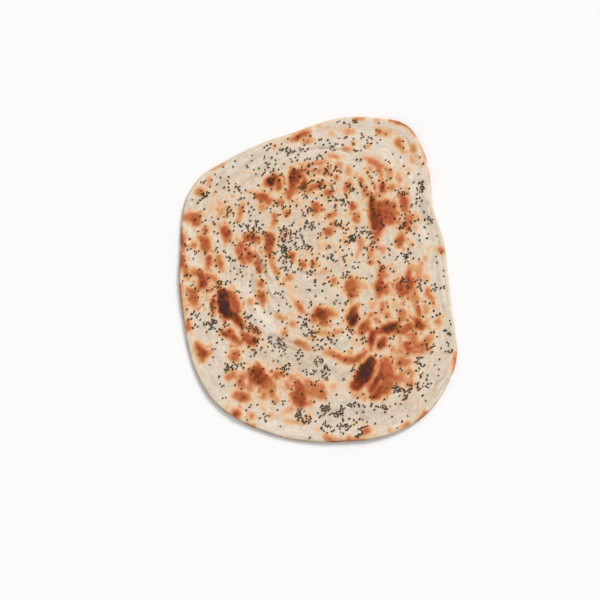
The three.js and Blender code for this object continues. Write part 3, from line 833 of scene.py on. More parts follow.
# Patches of dough that turned faintly golden all over, in the same way as the browned spots.
GOLDEN: list[list[Knot]] = [
    [(-108, 85.5, 22, 0.07), (-75, 103, 20, 0.07)],
    [(75, 110, 22, 0.1)],
    [(82, -3.5, 26, 0.09), (105, -63.5, 26, 0.09), (85, -108.5, 30, 0.11)],
    [(-100, -28.5, 26, 0.08), (-125, -13.5, 20, 0.09)],
    [(-65, -108.5, 26, 0.08), (-15, -125, 24, 0.08)],
    [(-20, 108, 26, 0.08), (20, 108, 20, 0.07)],
    [(-72, 31.5, 20, 0.08), (-55, 26.5, 18, 0.08)],
    [(0, 55, 34, 0.05), (10, 10, 30, 0.05)],
]


# --- The bread ------------------------------------------------------------------------------------


@dataclass
class Outline:
    """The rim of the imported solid, as columns that run round it from the middle of the coil.

    rim has the columns' outer ends in plan, as complex numbers, and lift how far each end stands off the
    surface.
    """

    middle: complex
    rim: Array
    lift: Array

    @classmethod
    def of_node(cls, node: bpy.types.Object, middle: Point, columns: int) -> Outline:
        """Reads the rim off a CAD node whose columns all start at the middle of the coil.

        The vertices are sorted by their bearing from the middle, those of a column stand together, and the
        farthest of each column is on the rim. The ends are joined by the smoothest closed curve through
        them, which is the sum of their Fourier terms, read at the finer columns.

        Args:
            node: the bread's CAD object.
            middle: the middle of the coil.
            columns: how many columns the finer rim has.

        Returns:
            The outline.
        """
        flat = np.empty(len(node.data.vertices) * 3, np.float32)
        node.data.vertices.foreach_get("co", flat)
        x, y, z = flat.reshape(-1, 3).T.astype(float) / METRE
        centre = complex(*middle)
        arm = x + 1j * y - centre
        hub = 1.0  # vertices nearer to the middle than this have no bearing of their own
        arm, z = arm[abs(arm) > hub], z[abs(arm) > hub]
        column_gap = 0.005  # least angle between two columns, in radians
        order = np.argsort(np.angle(arm))
        column = np.cumsum(np.diff(np.angle(arm[order]), prepend=-TURN) > column_gap)
        arm, z = arm[order], z[order]
        order = np.lexsort((abs(arm), column))
        last = np.append(np.flatnonzero(np.diff(column)), len(column) - 1)
        ends, heights = arm[order][last], z[order][last]
        bearings = np.angle(ends + centre)
        start = np.argmin(abs(bearings))
        ends, heights = np.roll(ends, -start), np.roll(heights, -start)
        LOG.info("rim of %s: %d columns", node.name, len(ends))

        def refine(values: Array) -> Array:
            """The closed curve through evenly spaced values, read at the finer columns."""
            terms = np.fft.fftshift(np.fft.fft(values))
            padded = np.pad(terms, (columns - len(values)) // 2)
            return np.fft.ifft(np.fft.ifftshift(padded)) * columns / len(values)

        lift = refine(heights - heights.min()).real
        return cls(centre, refine(ends) + centre, np.maximum(lift, 0))

    def along(self, values: Array, turn: Array) -> Array:
        """Values of the columns at a share of the turn round the bread, also between two columns.

        Args:
            values: one number for each column.
            turn: share of the turn, from bearing 0.

        Returns:
            The values there.
        """
        count = len(values)
        steps = np.arange(count + 1) / count
        closed = np.append(values, values[0])
        return np.interp(np.mod(turn, 1), steps, closed)

    def place(self, turn: Array, share: Array) -> tuple[Array, Array]:
        """Places in plan.

        Args:
            turn: share of the turn round the bread, from bearing 0.
            share: share of the way from the middle to the rim.

        Returns:
            x and y.
        """
        x = self.along(self.rim.real, turn)
        y = self.along(self.rim.imag, turn)
        return (
            self.middle.real + share * (x - self.middle.real),
            self.middle.imag + share * (y - self.middle.imag),
        )

    def polar(self, x: Array, y: Array) -> tuple[Array, Array, Array]:
        """The reverse of place.

        Args:
            x, y: places in plan.

        Returns:
            Turn, share and the distance to the rim along the column.
        """
        arms = self.rim - self.middle
        bearings = np.unwrap(np.angle(arms))
        bearings = np.append(bearings, bearings[0] + TURN)
        arm = x + 1j * y - self.middle
        bearing = np.mod(np.angle(arm) - bearings[0], TURN) + bearings[0]
        turn = np.interp(bearing, bearings, np.arange(len(bearings)) / len(arms))
        length = np.interp(bearing, bearings, np.append(abs(arms), abs(arms[0])))
        share = abs(arm) / length
        return turn, share, length * (1 - share)


@dataclass
class Disc:
    """A round sheet of square cells, with no pole: the cells of a square are drawn out to a disc.

    Each ring of the square, at the larger of |u| and |v|, becomes a circle of that radius, and the way round
    the ring the way round the circle, so that all cells keep the same area.
    """

    cells: int
    radius: Array = field(init=False)
    turn: Array = field(init=False)

    def __post_init__(self) -> None:
        """Works out every point's radius, from 0 to 1, and turn."""
        steps = np.linspace(-1, 1, self.cells + 1)
        u, v = (side.ravel() for side in np.meshgrid(steps, steps))
        self.radius = np.maximum(abs(u), abs(v))
        safe = np.where(self.radius > 0, self.radius, 1)
        # Half a side of the square is an eighth of the turn, on from its middle at 0, 1/4, 1/2 or 3/4.
        sideways = abs(u) >= abs(v)
        ratio = np.where(sideways, v, u) / safe
        east = np.where(u > 0, ratio / 8, 0.5 - ratio / 8)
        north = np.where(v > 0, 0.25 - ratio / 8, 0.75 + ratio / 8)
        self.turn = np.mod(np.where(sideways, east, north), 1)

    def faces(self) -> Array:
        """The four corners of each cell, counter-clockwise from above.

        Returns:
            One row of point numbers for each cell.
        """
        row = self.cells + 1
        corner = (np.arange(self.cells)[:, None] * row + np.arange(self.cells)).ravel()
        return np.stack([corner, corner + 1, corner + row + 1, corner + row], axis=1)

    def edge(self) -> Array:
        """Numbers of the points round the edge, counter-clockwise from the corner at turn -1/8.

        Returns:
            The points' numbers.
        """
        n, row = self.cells, self.cells + 1
        steps = np.arange(n)
        sides = (steps * row + n, n * row + n - steps, (n - steps) * row, steps)
        return np.concatenate(sides)


def bells(x: Array, y: Array, chains: list[list[Knot]]) -> Array:
    """The sum of bell-shaped ridges, each along a chain of knots and as high as the knots' strengths.

    Args:
        x, y: places in plan.
        chains: the ridges' knots.

    Returns:
        The height there.
    """
    total = np.zeros_like(x)
    for chain in chains:
        ridge = np.zeros_like(x)
        for start, end in zip(chain, chain[1:] or chain):
            away, half_width, strength = along_chain(x, y, start, end)
            value = strength * np.exp(-((away / half_width) ** 2))
            ridge = np.where(abs(value) > abs(ridge), value, ridge)
        total += ridge
    return total


@dataclass(frozen=True)
class Toasting:
    """How a toasted spot browns and swells, from the half widths and strengths of its knots."""

    fade_share: float = 0.9  # half the width of the eased end, as a share of the spot's half width
    fade_most: float = 3.8
    edge_share: float = 0.88  # the middle of the eased end lies at this share of the half width
    edge_out: float = 1.5  # and this much farther out
    core: float = 1.06  # browning in the middle, as a share of the strength
    core_fall: float = 0.4  # what that loses towards the end
    core_border: float = 5.0  # how far in from the end the loss starts
    blister: float = 0.12  # rise of the crust, as a share of the half width
    blister_pale: float = 0.5  # what counts for the rise beside the strength
    blister_most: float = 1.5
    blister_reach: float = 1.2  # where the rise ends, as a share of the half width
    blister_power: float = 1.5
    near_reach: float = 9.0  # how far outside a spot the crust is still tinted
    near_most: float = 1.2
    merging: int = 6  # spots are joined by the root of the sum of this power of their browning

    def at(self, away: Array, half_width: Array, strength: Array) -> tuple[Array, Array, Array]:
        """What one stretch of a spot does.

        Its browning is even in the middle, falls off as a parabola near the end and eases out there. Its
        blister is a dome, the power of a parabola.

        Args:
            away: distance to the stretch.
            half_width, strength: those of the spot at the stretch's nearest point.

        Returns:
            The browning from 0 to 1, the blister's rise and the closeness to the spot from 0 to 1.
        """
        fade = np.minimum(self.fade_share * half_width, self.fade_most)
        edge = self.edge_share * half_width + self.edge_out
        fall = np.clip(1 - (half_width - away) / self.core_border, 0, 1)
        core = self.core - self.core_fall * fall**2
        bake = strength * core * (1 - smoothstep(edge - fade, edge + fade, away))
        height = np.minimum(self.blister_most, self.blister * half_width * (self.blister_pale + strength))
        dome = np.clip(1 - (away / half_width / self.blister_reach) ** 2, 0, 1) ** self.blister_power
        near = strength * (1 - smoothstep(0, self.near_reach, away - half_width))
        return bake, height * dome, near


@dataclass(frozen=True)
class TopColour:
    """What colours the seeded side beside its spots: how far the crust is tinted there, its tone, and the
    light and shade painted on its relief.
    """

    golden_mean: float = 0.7  # share of its strength that a golden patch has on average
    golden_change: Bumps = Bumps(0.8, 11, 16, 3)
    freckles: Bumps = Bumps(1.0, 6.5, 15, 3)
    freckle_gap: float = 0.1  # the higher, the fewer freckles
    dots: Bumps = Bumps(1.0, 4.6, 17, 2)
    dot_rim: Point = (0.24, 0.4)  # where a dot begins and where it is full, in the height of its noise
    golden: float = 0.5
    near: float = 0.05  # close to a toasted spot
    freckled: float = 0.05
    freckled_near: float = 0.45
    dotted: float = 0.02
    dotted_golden: float = 2.4
    tint_border: float = 8.0  # how far in from the rim the tint is full
    blotches: Bumps = Bumps(0.18, 4.6, 18)  # how unevenly the spots are browned
    flecks: Bumps = Bumps(0.1, 2.3, 18)  # and on a finer scale
    tone: float = 0.47
    tone_change: Bumps = Bumps(0.3, 22, 20, 3)
    tone_flakes: Bumps = Bumps(0.25, 5, 21, 3)
    rim_paler: float = 0.2
    rim_inset: float = 5.0  # where the rim is palest, and how wide that stripe is
    middle_darker: float = 0.15
    middle_border: Point = (30, 80)  # how far in from the rim the darker middle begins and is full
    # painted light and shade: the dough is drawn paler where the coil and swells stand higher, darker where
    # lower
    relief_light_and_shade: float = 0.35
    streak_tone: float = 0.3
    # painted highlight on the raised folds
    fold_highlight: float = 0.5
    groove_shade: float = 0.6

    def tint(self, x: Array, y: Array, near: Array, seed: int) -> Array:
        """How far the crust is tinted between the spots, in golden patches, freckles and dots.

        Args:
            x, y: places in plan.
            near: closeness to the toasted spots.
            seed: the bread's random number.

        Returns:
            The tint, on the scale of the browning.
        """
        freckles = np.clip(self.freckles.at(x, y, seed) - self.freckle_gap, 0, 1)
        golden = np.clip(bells(x, y, GOLDEN), 0, 1) * (self.golden_mean + self.golden_change.at(x, y, seed))
        dots = smoothstep(*self.dot_rim, self.dots.at(x, y, seed))
        tint = self.golden * golden + self.near * near + self.freckled_near * near * freckles
        return tint + self.freckled * freckles + dots * (self.dotted + self.dotted_golden * golden)

    def pale(self, x: Array, y: Array, inset: Array, seed: int) -> Array:
        """The tone of the raw dough: uneven, paler along the rim and darker in the middle.

        Args:
            x, y: places in plan.
            inset: distance to the rim.
            seed: the bread's random number.

        Returns:
            The tone, from 0, dark, to 1, pale.
        """
        uneven = self.tone + self.tone_change.at(x, y, seed) + self.tone_flakes.at(x, y, seed)
        rim = self.rim_paler * np.exp(-(((inset - self.rim_inset) / self.rim_inset) ** 2))
        middle = self.middle_darker * smoothstep(*self.middle_border, inset)
        return uneven + (bells(x, y, TONES) + rim - middle)


@dataclass(frozen=True)
class UndersideCrust:
    """The side that was baked first: toasted where it touched the pan, with shallow dents elsewhere."""

    spots: int = 170
    spot_reach: float = 0.95  # the farthest spots, as a share of the way to the rim
    spot_run: float = 9.0
    spot_width: float = 2.2
    spot_wider: float = 8.0
    spot_bake: Point = (0.3, 0.75)
    spot_end_width: float = 0.8  # the far end of a spot beside its near end
    spot_end_bake: float = 0.9
    dents: Bumps = Bumps(1.0, 16, 30)
    dent_depth: float = 0.3
    freckles: Bumps = Bumps(1.0, 9, 31, 2)
    freckle_gap: float = 0.1
    freckled_near: float = 0.4
    golden: float = 0.12
    golden_change: Bumps = Bumps(3.0, 34, 33, 3)
    golden_plain: float = 0.4
    near: float = 0.08
    tone: float = 0.5
    tone_change: Bumps = Bumps(0.35, 22, 32, 3)
    tone_flakes: Bumps = Bumps(0.2, 5, 34, 3)

    def strewn(self, outline: Outline, seed: int) -> list[list[Knot]]:
        """Toasted spots strewn by chance, each a short stretch that narrows.

        Args:
            outline: the bread's rim.
            seed: the bread's random number.

        Returns:
            The spots' knots.
        """
        rng = np.random.default_rng(seed)
        spots = []
        for _ in range(self.spots):
            x, y = outline.place(rng.uniform(), math.sqrt(rng.uniform()) * self.spot_reach)
            run = rng.uniform(0, self.spot_run) * np.exp(1j * rng.uniform(0, TURN))
            width = self.spot_width + self.spot_wider * rng.uniform() ** 2
            bake = rng.uniform(*self.spot_bake)
            end = (x + run.real, y + run.imag, self.spot_end_width * width, self.spot_end_bake * bake)
            spots.append([(x, y, width, bake), end])
        return spots


@dataclass
class Malawach:
    """The bread: one closed sheet with its coil, folds, blisters, browning and rim.

    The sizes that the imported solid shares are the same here: the coil's middle and turns, the sheet's
    thickness, the bead round the rim and the width of the border that lifts.
    """

    outline: Outline
    toasting: Toasting = Toasting()
    colour: TopColour = TopColour()
    below: UndersideCrust = UndersideCrust()
    # The coil.
    coil_turns: float = 9
    coil_wobble: tuple[Bumps, ...] = (Bumps(0.22, 46, 7), Bumps(0.08, 15, 8))
    coil_start: Point = (0.04, 0.14)  # where the coil comes up, as shares of the way to the rim
    coil_end: Point = (0.86, 0.95)  # where it fades
    ridge: float = 0.5
    ridge_crest: float = 0.75
    ridge_mean: float = 0.65  # share of its height that the ridge has on average
    ridge_change: Bumps = Bumps(0.5, 30, 9)
    # The sheet, the bead round its rim and the border that lifts.
    thickness_middle: float = 4.3
    thickness_border: float = 3.0
    taper: float = 38.0
    bead: float = 0.6
    bead_inset: float = 7.0
    bead_half_width: float = 4.5
    lift_width: float = 34.0
    # The sheet's unevenness.
    fold_height: float = 1.5  # what the folds' rises are multiplied by
    swells: tuple[Bumps, ...] = (Bumps(0.34, 24, 11), Bumps(0.12, 6, 12, 3))
    warp: tuple[Bumps, ...] = (Bumps(1.1, 9, 0), Bumps(0.55, 3.6, 1))
    # The streaks along the coil and the grooves along the rim.
    streak_height: float = 0.16
    streak_waves: tuple[int, ...] = (2, 3, 5, 7)  # waves of the streaks across one turn of the coil
    streak_shift: Bumps = Bumps(5.0, 26, 50)
    streak_gaps: Bumps = Bumps(1.0, 15, 60)
    streak_share: float = 0.15  # the higher, the fewer gaps
    groove_insets: tuple[float, ...] = (4.5, 8.0, 12.0)  # the rim's grooves, by their distance from it
    groove_depth: float = 0.5
    groove_half_width: float = 1.0
    groove_drift: Bumps = Bumps(1.6, 34, 70)
    groove_gaps: Bumps = Bumps(1.0, 30, 80)
    groove_share: float = 0.35  # the higher, the fewer gaps
    groove_least: float = 0.35  # how deep they are on the left, beside the right
    groove_side: float = -0.02  # turn at which they are deepest
    # The rounded edge and its wall.
    edge_bulge: float = 3.2  # how far the rounded edge stands out past the top's border
    edge_widest: float = 0.4  # level of its widest point, as a share of the thickness
    edge_ripple: float = 0.25
    ripple: Bumps = Bumps(1.0, 5, 40)
    wall_level: Point = (1.0, 0.7)  # the top's colour gives way to the wall's between these levels
    wall_bake: float = 0.07
    wall_change: Bumps = Bumps(0.1, 28, 41)
    wall_ripple: float = 0.05
    wall_shade: float = 0.3  # painted shade on the wall, and how much it changes round the bread
    wall_shade_side: float = 0.62  # turn at which the painted shade is darkest, on the side away from the lamp
    wall_shade_change: Bumps = Bumps(0.3, 18, 42)
    underside_inset: float = 2.0  # how far inside the rounded edge the flat underside ends
    # The mesh, and the number that all its chance comes from.
    top_cells: int = 264
    edge_rings: int = 9
    seed: int = 31

    def uneven(self, x: Array, y: Array, *kinds: Bumps, shift: int = 0) -> Array:
        """The bread's own unevenness of one or more kinds, with other random fields for another shift."""
        return sum(kind.at(x, y, self.seed + shift) for kind in kinds)

    def lifted(self, turn: Array, inset: Array) -> Array:
        """How far the underside stands off the surface, fading as a parabola from the rim inwards."""
        outward = np.clip(1 - inset / self.lift_width, 0, 1)
        return self.outline.along(self.outline.lift, turn) * outward**2

    def warped(self, x: Array, y: Array) -> tuple[Array, Array]:
        """Places shifted by two sizes of noise, so that what is drawn on them gets an uneven outline."""
        return x + self.uneven(x, y, *self.warp), y + self.uneven(x, y, *self.warp, shift=len(self.warp))

    def browning(self, x: Array, y: Array, spots: list[list[Knot]]) -> tuple[Array, Array, Array]:
        """How far the crust is toasted and raised.

        Where spots overlap, the root of the sum of a high power of their browning keeps the stronger one.

        Args:
            x, y: places in plan.
            spots: the toasted spots' knots.

        Returns:
            The browning from 0 to about 1, the rise of the blisters and the closeness to any spot.
        """
        wx, wy = self.warped(x, y)
        total, rise, near = np.zeros_like(x), np.zeros_like(x), np.zeros_like(x)
        for spot in spots:
            bake, around = np.zeros_like(x), np.zeros_like(x)
            for start, end in zip(spot, spot[1:] or spot):
                toasted, raised, close = self.toasting.at(*along_chain(wx, wy, start, end))
                bake = np.maximum(bake, toasted)
                rise = np.maximum(rise, raised)
                around = np.maximum(around, close)
            total += bake**self.toasting.merging
            near += around
        return total ** (1 / self.toasting.merging), rise, np.clip(near, 0, self.toasting.near_most)

    def coil(self, x: Array, y: Array, turn: Array, share: Array) -> Array:
        """The turns of the coil: each climbs outwards and drops to the next, unevenly. The ends fade.

        Args:
            x, y: places in plan.
            turn, share: the same places round the coil.

        Returns:
            The height of the ridges.
        """
        phase = np.mod(self.coil_turns * share - turn + self.uneven(x, y, *self.coil_wobble), 1)
        profile = smoothstep(0, self.ridge_crest, phase) - smoothstep(self.ridge_crest, 1, phase)
        fade = smoothstep(*self.coil_start, share) * (1 - smoothstep(*self.coil_end, share))
        return self.ridge * profile * fade * (self.ridge_mean + self.uneven(x, y, self.ridge_change))

    def rim_layers(self, x: Array, y: Array, turn: Array, inset: Array) -> Array:
        """Grooves along the rim where the outer layers of dough end, deepest on the bread's right side.

        Args:
            x, y: places in plan.
            turn, inset: the same places by their turn and their distance to the rim.

        Returns:
            The grooves' depth, as a negative rise.
        """
        sideways = np.clip(np.cos(TURN * (turn - self.groove_side)), 0, 1)
        right = self.groove_least + (1 - self.groove_least) * sideways
        total = np.zeros_like(x)
        for k, distance in enumerate(self.groove_insets):
            drift = self.uneven(x, y, self.groove_drift, shift=k)
            depth = np.clip(self.uneven(x, y, self.groove_gaps, shift=k) + self.groove_share, 0, 1)
            across = (inset - distance - drift) / self.groove_half_width
            total -= self.groove_depth * depth * right * np.exp(-(across**2))
        return total

    def layering(self, x: Array, y: Array, turn: Array, share: Array) -> Array:
        """Streaks along the coil where layers of dough end: waves across its turns that come and go.

        Args:
            x, y: places in plan.
            turn, share: the same places round the coil.

        Returns:
            The streaks, around 0.
        """
        total = np.zeros_like(x)
        for waves in self.streak_waves:
            shift = self.uneven(x, y, self.streak_shift, shift=waves)
            strength = np.clip(self.uneven(x, y, self.streak_gaps, shift=waves) + self.streak_share, 0, 1)
            total += strength * np.cos(TURN * waves * (self.coil_turns * share - turn) + shift)
        return total

    def top(self, x: Array, y: Array) -> dict[str, Array]:
        """The seeded side.

        Args:
            x, y: places in plan.

        Returns:
            The height z and the values that the finish reads.
        """
        turn, share, inset = self.outline.polar(x, y)
        spots = [spot for part in TOASTED_SPOTS.values() for spot in part] + TOASTED_WALL
        bake, rise, near = self.browning(x, y, spots)
        fold = self.fold_height * bells(*self.warped(x, y), FOLDS) + self.rim_layers(x, y, turn, inset)
        middle = smoothstep(0, self.taper, inset)
        sheet = self.thickness_border + middle * (self.thickness_middle - self.thickness_border)
        bead = self.bead * np.exp(-(((inset - self.bead_inset) / self.bead_half_width) ** 2))
        waves = self.uneven(x, y, *self.swells)
        coil = self.coil(x, y, turn, share)
        streaks = self.layering(x, y, turn, share)
        z = self.lifted(turn, inset) + sheet + bead + rise + fold + waves + coil
        z += self.streak_height * streaks

        look = self.colour
        tint = look.tint(x, y, near, self.seed) * smoothstep(0, look.tint_border, inset)
        patchy = 1 + self.uneven(x, y, look.blotches) + self.uneven(x, y, look.flecks)
        # Painted light and shade: the tone follows the height of the coil and the swells.
        tone = look.pale(x, y, inset, self.seed) + look.relief_light_and_shade * (coil + waves)
        return {
            "z": z,
            "bake": np.maximum(bake * patchy, tint),
            # painted highlight: raised folds are drawn paler
            "tone": tone + look.streak_tone * streaks + look.fold_highlight * np.clip(fold, 0, 1),
            # painted shade in the grooves
            "painted_shade": look.groove_shade * np.clip(-fold, 0, 1),
        }

    def underside(self, x: Array, y: Array) -> dict[str, Array]:
        """The flat side.

        Args:
            x, y: places in plan.

        Returns:
            The height z and the values that the finish reads.
        """
        turn, _, inset = self.outline.polar(x, y)
        look = self.below
        bake, _, near = self.browning(x, y, look.strewn(self.outline, self.seed))
        dents = np.clip(self.uneven(x, y, look.dents), 0, 1)
        freckles = np.clip(self.uneven(x, y, look.freckles) - look.freckle_gap, 0, 1)
        golden = look.golden * np.clip(1 + self.uneven(x, y, look.golden_change), 0, 2)
        plain = look.golden_plain * golden + look.near * near
        return {
            "z": self.lifted(turn, inset) + look.dent_depth * dents * (1 - bake),
            "bake": np.maximum(bake, plain + (look.freckled_near * near + golden) * freckles),
            "tone": look.tone + self.uneven(x, y, look.tone_change) + self.uneven(x, y, look.tone_flakes),
            "painted_shade": np.zeros_like(x),
        }

    def wall(self, turn: Array, ripple: Array) -> Array:
        """How far the rim's wall is toasted: hardly, but for its own stretches.

        Args:
            turn: share of the turn round the bread.
            ripple: the wall's ripple there.

        Returns:
            The browning from 0 to 1.
        """
        x, y = self.outline.place(turn, np.ones_like(turn))
        even = self.wall_bake + self.uneven(x, y, self.wall_change) + self.wall_ripple * ripple
        return np.maximum(even, self.browning(x, y, TOASTED_WALL)[0])

    def build(self, finish: BakedDough) -> bpy.types.Object:
        """Joins the top, the rounded edge and the underside into one closed mesh.

        The edge is half an ellipse in section, from the top's border out to the rim and back in under it.
        The underside has cells twice as large, so one ring of triangles halves the number of points.

        Args:
            finish: the bread's finish.

        Returns:
            The bread.
        """
        disc = Disc(self.top_cells)
        length = self.outline.along(abs(self.outline.rim - self.outline.middle), disc.turn)
        x, y = self.outline.place(disc.turn, disc.radius * (1 - self.edge_bulge / length))
        parts = [{"x": x, "y": y, "wall": np.zeros_like(x), **self.top(x, y)}]
        faces = disc.faces().tolist()
        above = disc.edge()
        border = {name: values[above] for name, values in parts[0].items()}
        turn, reach = disc.turn[above], length[above]
        base = self.lifted(turn, np.zeros_like(turn))
        ripple = self.uneven(border["x"], border["y"], self.ripple)
        browned = self.wall(turn, ripple)
        # Painted shade on the wall, darkest on the side away from the lamp.
        wall_shade = self.wall_shade + self.wall_shade * np.cos(TURN * (turn - self.wall_shade_side))
        wall_shade = np.clip(wall_shade + self.uneven(border["x"], border["y"], self.wall_shade_change), 0, 1)

        count = len(x)
        around = len(above)
        for ring in range(1, self.edge_rings + 1):
            angle = math.pi / 2 - math.pi * ring / self.edge_rings
            spread = 1 - self.edge_widest if angle > 0 else self.edge_widest
            level = self.edge_widest + spread * math.sin(angle)
            inset = self.edge_bulge * (1 - math.cos(angle)) + self.edge_ripple * ripple * math.cos(angle)
            ring_x, ring_y = self.outline.place(turn, 1 - inset / reach)
            wall = float(smoothstep(*self.wall_level, np.array(level)))
            parts.append(
                {
                    "x": ring_x,
                    "y": ring_y,
                    "z": base + level * (border["z"] - base),
                    "bake": border["bake"] * (1 - wall) + browned * wall,
                    "tone": border["tone"],
                    "painted_shade": border["painted_shade"] * (1 - wall) + wall_shade * wall,
                    "wall": np.full_like(ring_x, wall),
                }
            )
            below = np.arange(count, count + around)
            quads = [above, below, np.roll(below, -1), np.roll(above, -1)]
            faces += np.stack(quads, axis=1).tolist()
            above = below
            count += around

        under = Disc(self.top_cells // 2)
        length = self.outline.along(abs(self.outline.rim - self.outline.middle), under.turn)
        flat_inset = self.edge_bulge + self.underside_inset
        x, y = self.outline.place(under.turn, under.radius * (1 - flat_inset / length))
        parts.append({"x": x, "y": y, "wall": np.zeros_like(x), **self.underside(x, y)})
        inner = under.edge() + count
        outer, middle = above[0::2], above[1::2]
        after_outer, after_inner = np.roll(outer, -1), np.roll(inner, -1)
        for triangle in (
            (outer, inner, middle),
            (middle, inner, after_inner),
            (middle, after_inner, after_outer),
        ):
            faces += np.stack(triangle, axis=1).tolist()
        faces += (under.faces()[:, ::-1] + count).tolist()

        joined = {name: np.concatenate([part[name] for part in parts]) for name in parts[0]}
        points = np.stack([joined.pop(axis) for axis in "xyz"], axis=1)
        bread = new_piece("layered_bread", points, faces, joined)
        bread.data.materials.append(finish.make())
        return bread


# --- Seeds ----------------------------------------------------------------------------------------

# Where seeds fell closer together. Each group has its number of seeds, their scatter, and the two ends of
# the line that they lie along.
SEED_GROUPS: list[tuple[int, float, Point, Point]] = [
    (8, 1.6, (-123, 93), (-129, 81)),
    (4, 1.6, (-113, 61), (-111, 61)),
    (7, 2.2, (-97, 75), (-92, 67)),
    (9, 2.2, (-86, 60), (-77, 51)),
    (11, 3.2, (-74, 54), (-64, 46)),
    (3, 1.2, (-132, 29), (-129, 29)),
    (6, 1.8, (-101, 27), (-92, 20)),
    (6, 2.2, (-87, 12), (-79, 5)),
    (8, 1.5, (-34, 21), (-29, 12)),
    (8, 1.8, (-107, -9), (-98, -4)),
    (8, 2.6, (-66, 59), (-61, 50)),
    (14, 3.4, (-35, 50), (-27, 40)),
    (4, 2, (-35, 50), (-31, 47)),
    (18, 1.8, (-39, 38), (-35, 19)),
    (12, 2.8, (-24, 38), (-7, 32)),
    (5, 1.8, (-10, 62), (-5, 62)),
    (5, 2.2, (-5, 55), (1, 51)),
    (7, 2, (16, 60), (24, 53)),
    (12, 2, (25, 89), (33, 80)),
    (6, 2, (15, 88), (20, 84)),
    (6, 2, (-11, 81), (-7, 76)),
    (4, 2, (26, 59), (30, 56)),
    (5, 2, (9, 24), (15, 20)),
    (6, 1.8, (29, 6), (34, 1)),
    (7, 2.4, (-40, 12), (-35, 6)),
    (3, 1.4, (-13, 9), (-8, 5)),
    (4, 1.6, (-43, -15), (-40, -21)),
    (15, 1.8, (38, 48), (39, 40)),
    (10, 1.8, (36, 102), (37, 92)),
    (5, 1.8, (46, 103), (50, 99)),
    (9, 2.4, (50, 55), (58, 47)),
    (9, 1.8, (88, 96), (93, 91)),
    (3, 1.2, (76, 128), (79, 126)),
    (4, 1.6, (-26, 47), (-22, 45)),
    (5, 2, (-26, 33), (-10, 34)),
    (8, 2.6, (94, 60), (101, 53)),
    (8, 1.4, (110, 94), (117, 100)),
    (5, 1.8, (108, 86), (112, 81)),
    (9, 1.4, (124, 69), (125, 60)),
    (6, 2, (91, 26), (97, 19)),
    (7, 2.2, (55, 37), (65, 30)),
    (8, 2.8, (-58, 124), (-50, 116)),
    (6, 2.8, (-9, 121), (-3, 114)),
    (6, 2, (8, 121), (13, 109)),
    (5, 2.2, (17, 117), (20, 108)),
    (8, 2.2, (-21, 99), (-10, 94)),
    (8, 2.4, (-6, 104), (8, 99)),
    (6, 1.8, (12, 101), (17, 96)),
    (5, 2, (-45, 80), (-39, 77)),
    (8, 2.2, (11, 153), (18, 144)),
    (5, 2, (40, 176), (46, 167)),
    (4, 1.6, (24, 176), (29, 173)),
    (9, 3.2, (49, 157), (62, 149)),
    (9, 3.2, (-50, 146), (-36, 136)),
    (3, 1.2, (-20, 142), (-18, 140)),
    (9, 3.4, (-34, 142), (-12, 134)),
    (6, 3.6, (-23, 131), (-9, 124)),
    (4, 2.2, (-99, 107), (-92, 101)),
    (7, 2.6, (-85, 100), (-79, 87)),
    (6, 1.6, (-133, -39), (-129, -43)),
    (5, 2, (-122, -52), (-118, -58)),
    (13, 2, (-114, -47), (-109, -58)),
    (9, 2, (-114, -28), (-111, -43)),
    (5, 1, (-102, -53), (-92, -53)),
    (5, 2, (-79, -38), (-74, -46)),
    (5, 1.8, (-76, -53), (-71, -57)),
    (7, 1.2, (-70, -57), (-63, -60)),
    (11, 1.4, (-65, -61), (-64, -71)),
    (8, 2, (-68, -78), (-63, -86)),
    (8, 1.6, (-99, -98), (-97, -104)),
    (8, 2.4, (-90, -95), (-84, -104)),
    (3, 1, (-105, -117), (-103, -119)),
    (3, 1, (-81, -93), (-79, -96)),
    (5, 1.6, (-60, -148), (-54, -153)),
    (11, 2.2, (-54, -70), (-47, -76)),
    (14, 1.7, (-43, -71), (-37, -74)),
    (6, 2.6, (-15, -48), (-12, -54)),
    (16, 2.4, (-13, -62), (1, -62)),
    (8, 2.4, (-2, -70), (5, -79)),
    (7, 1.8, (12, -68), (18, -71)),
    (9, 1.8, (-20, -81), (-16, -88)),
    (9, 2, (0, -90), (7, -97)),
    (14, 3.4, (-13, -98), (1, -106)),
    (9, 2.4, (5, -98), (11, -110)),
    (14, 2.8, (-46, -95), (-32, -100)),
    (3, 1.2, (-36, -135), (-34, -139)),
    (6, 1.8, (31, -57), (34, -63)),
    (18, 1.9, (6, -140), (13, -147)),
    (11, 1.8, (17, -148), (27, -146)),
    (8, 2.2, (33, -139), (39, -143)),
    (5, 1.2, (24, -142), (27, -145)),
    (12, 2, (-20, -152), (-7, -156)),
    (5, 1, (-22, -151), (-18, -154)),
    (6, 1.8, (-24, -140), (-21, -148)),
    (9, 1.8, (8, -161), (14, -164)),
    (13, 2, (30, -156), (31, -163)),
    (5, 1.4, (21, -161), (25, -166)),
    (6, 1.8, (43, -171), (48, -174)),
    (7, 2.4, (46, -158), (51, -165)),
    (4, 1.8, (43, -136), (47, -139)),
    (10, 1.6, (108.5, -89), (109, -97)),
    (14, 1.5, (83, -121), (88, -124)),
    (6, 1.2, (98, -119), (100, -125)),
    (6, 1.4, (90, -131), (96, -130)),
    (5, 1.4, (36, -100), (39, -103)),
    (13, 3, (109, -112), (119, -121)),
    (9, 2, (68, -138), (73, -141)),
    (6, 2, (50, -68), (54, -72)),
    (7, 2.2, (111, -3), (112, -14)),
    (8, 2.6, (88, -8), (97, -7)),
    (4, 2, (123, -14), (127, -13)),
    (9, 2.8, (145, -82), (146, -76)),
    (4, 2.4, (142, -58), (142, -56)),
    (8, 3, (120, -70), (122, -80)),
    (8, 4, (100, 14), (70, 12)),
    (44, 17, (-25, 50), (30, 25)),
    (18, 13, (-10, -2), (20, -10)),
    (12, 10, (-100, -20), (-75, -60)),
    (12, 10, (125, -40), (130, -90)),
    (8, 10, (-60, 60), (-110, 30)),
]


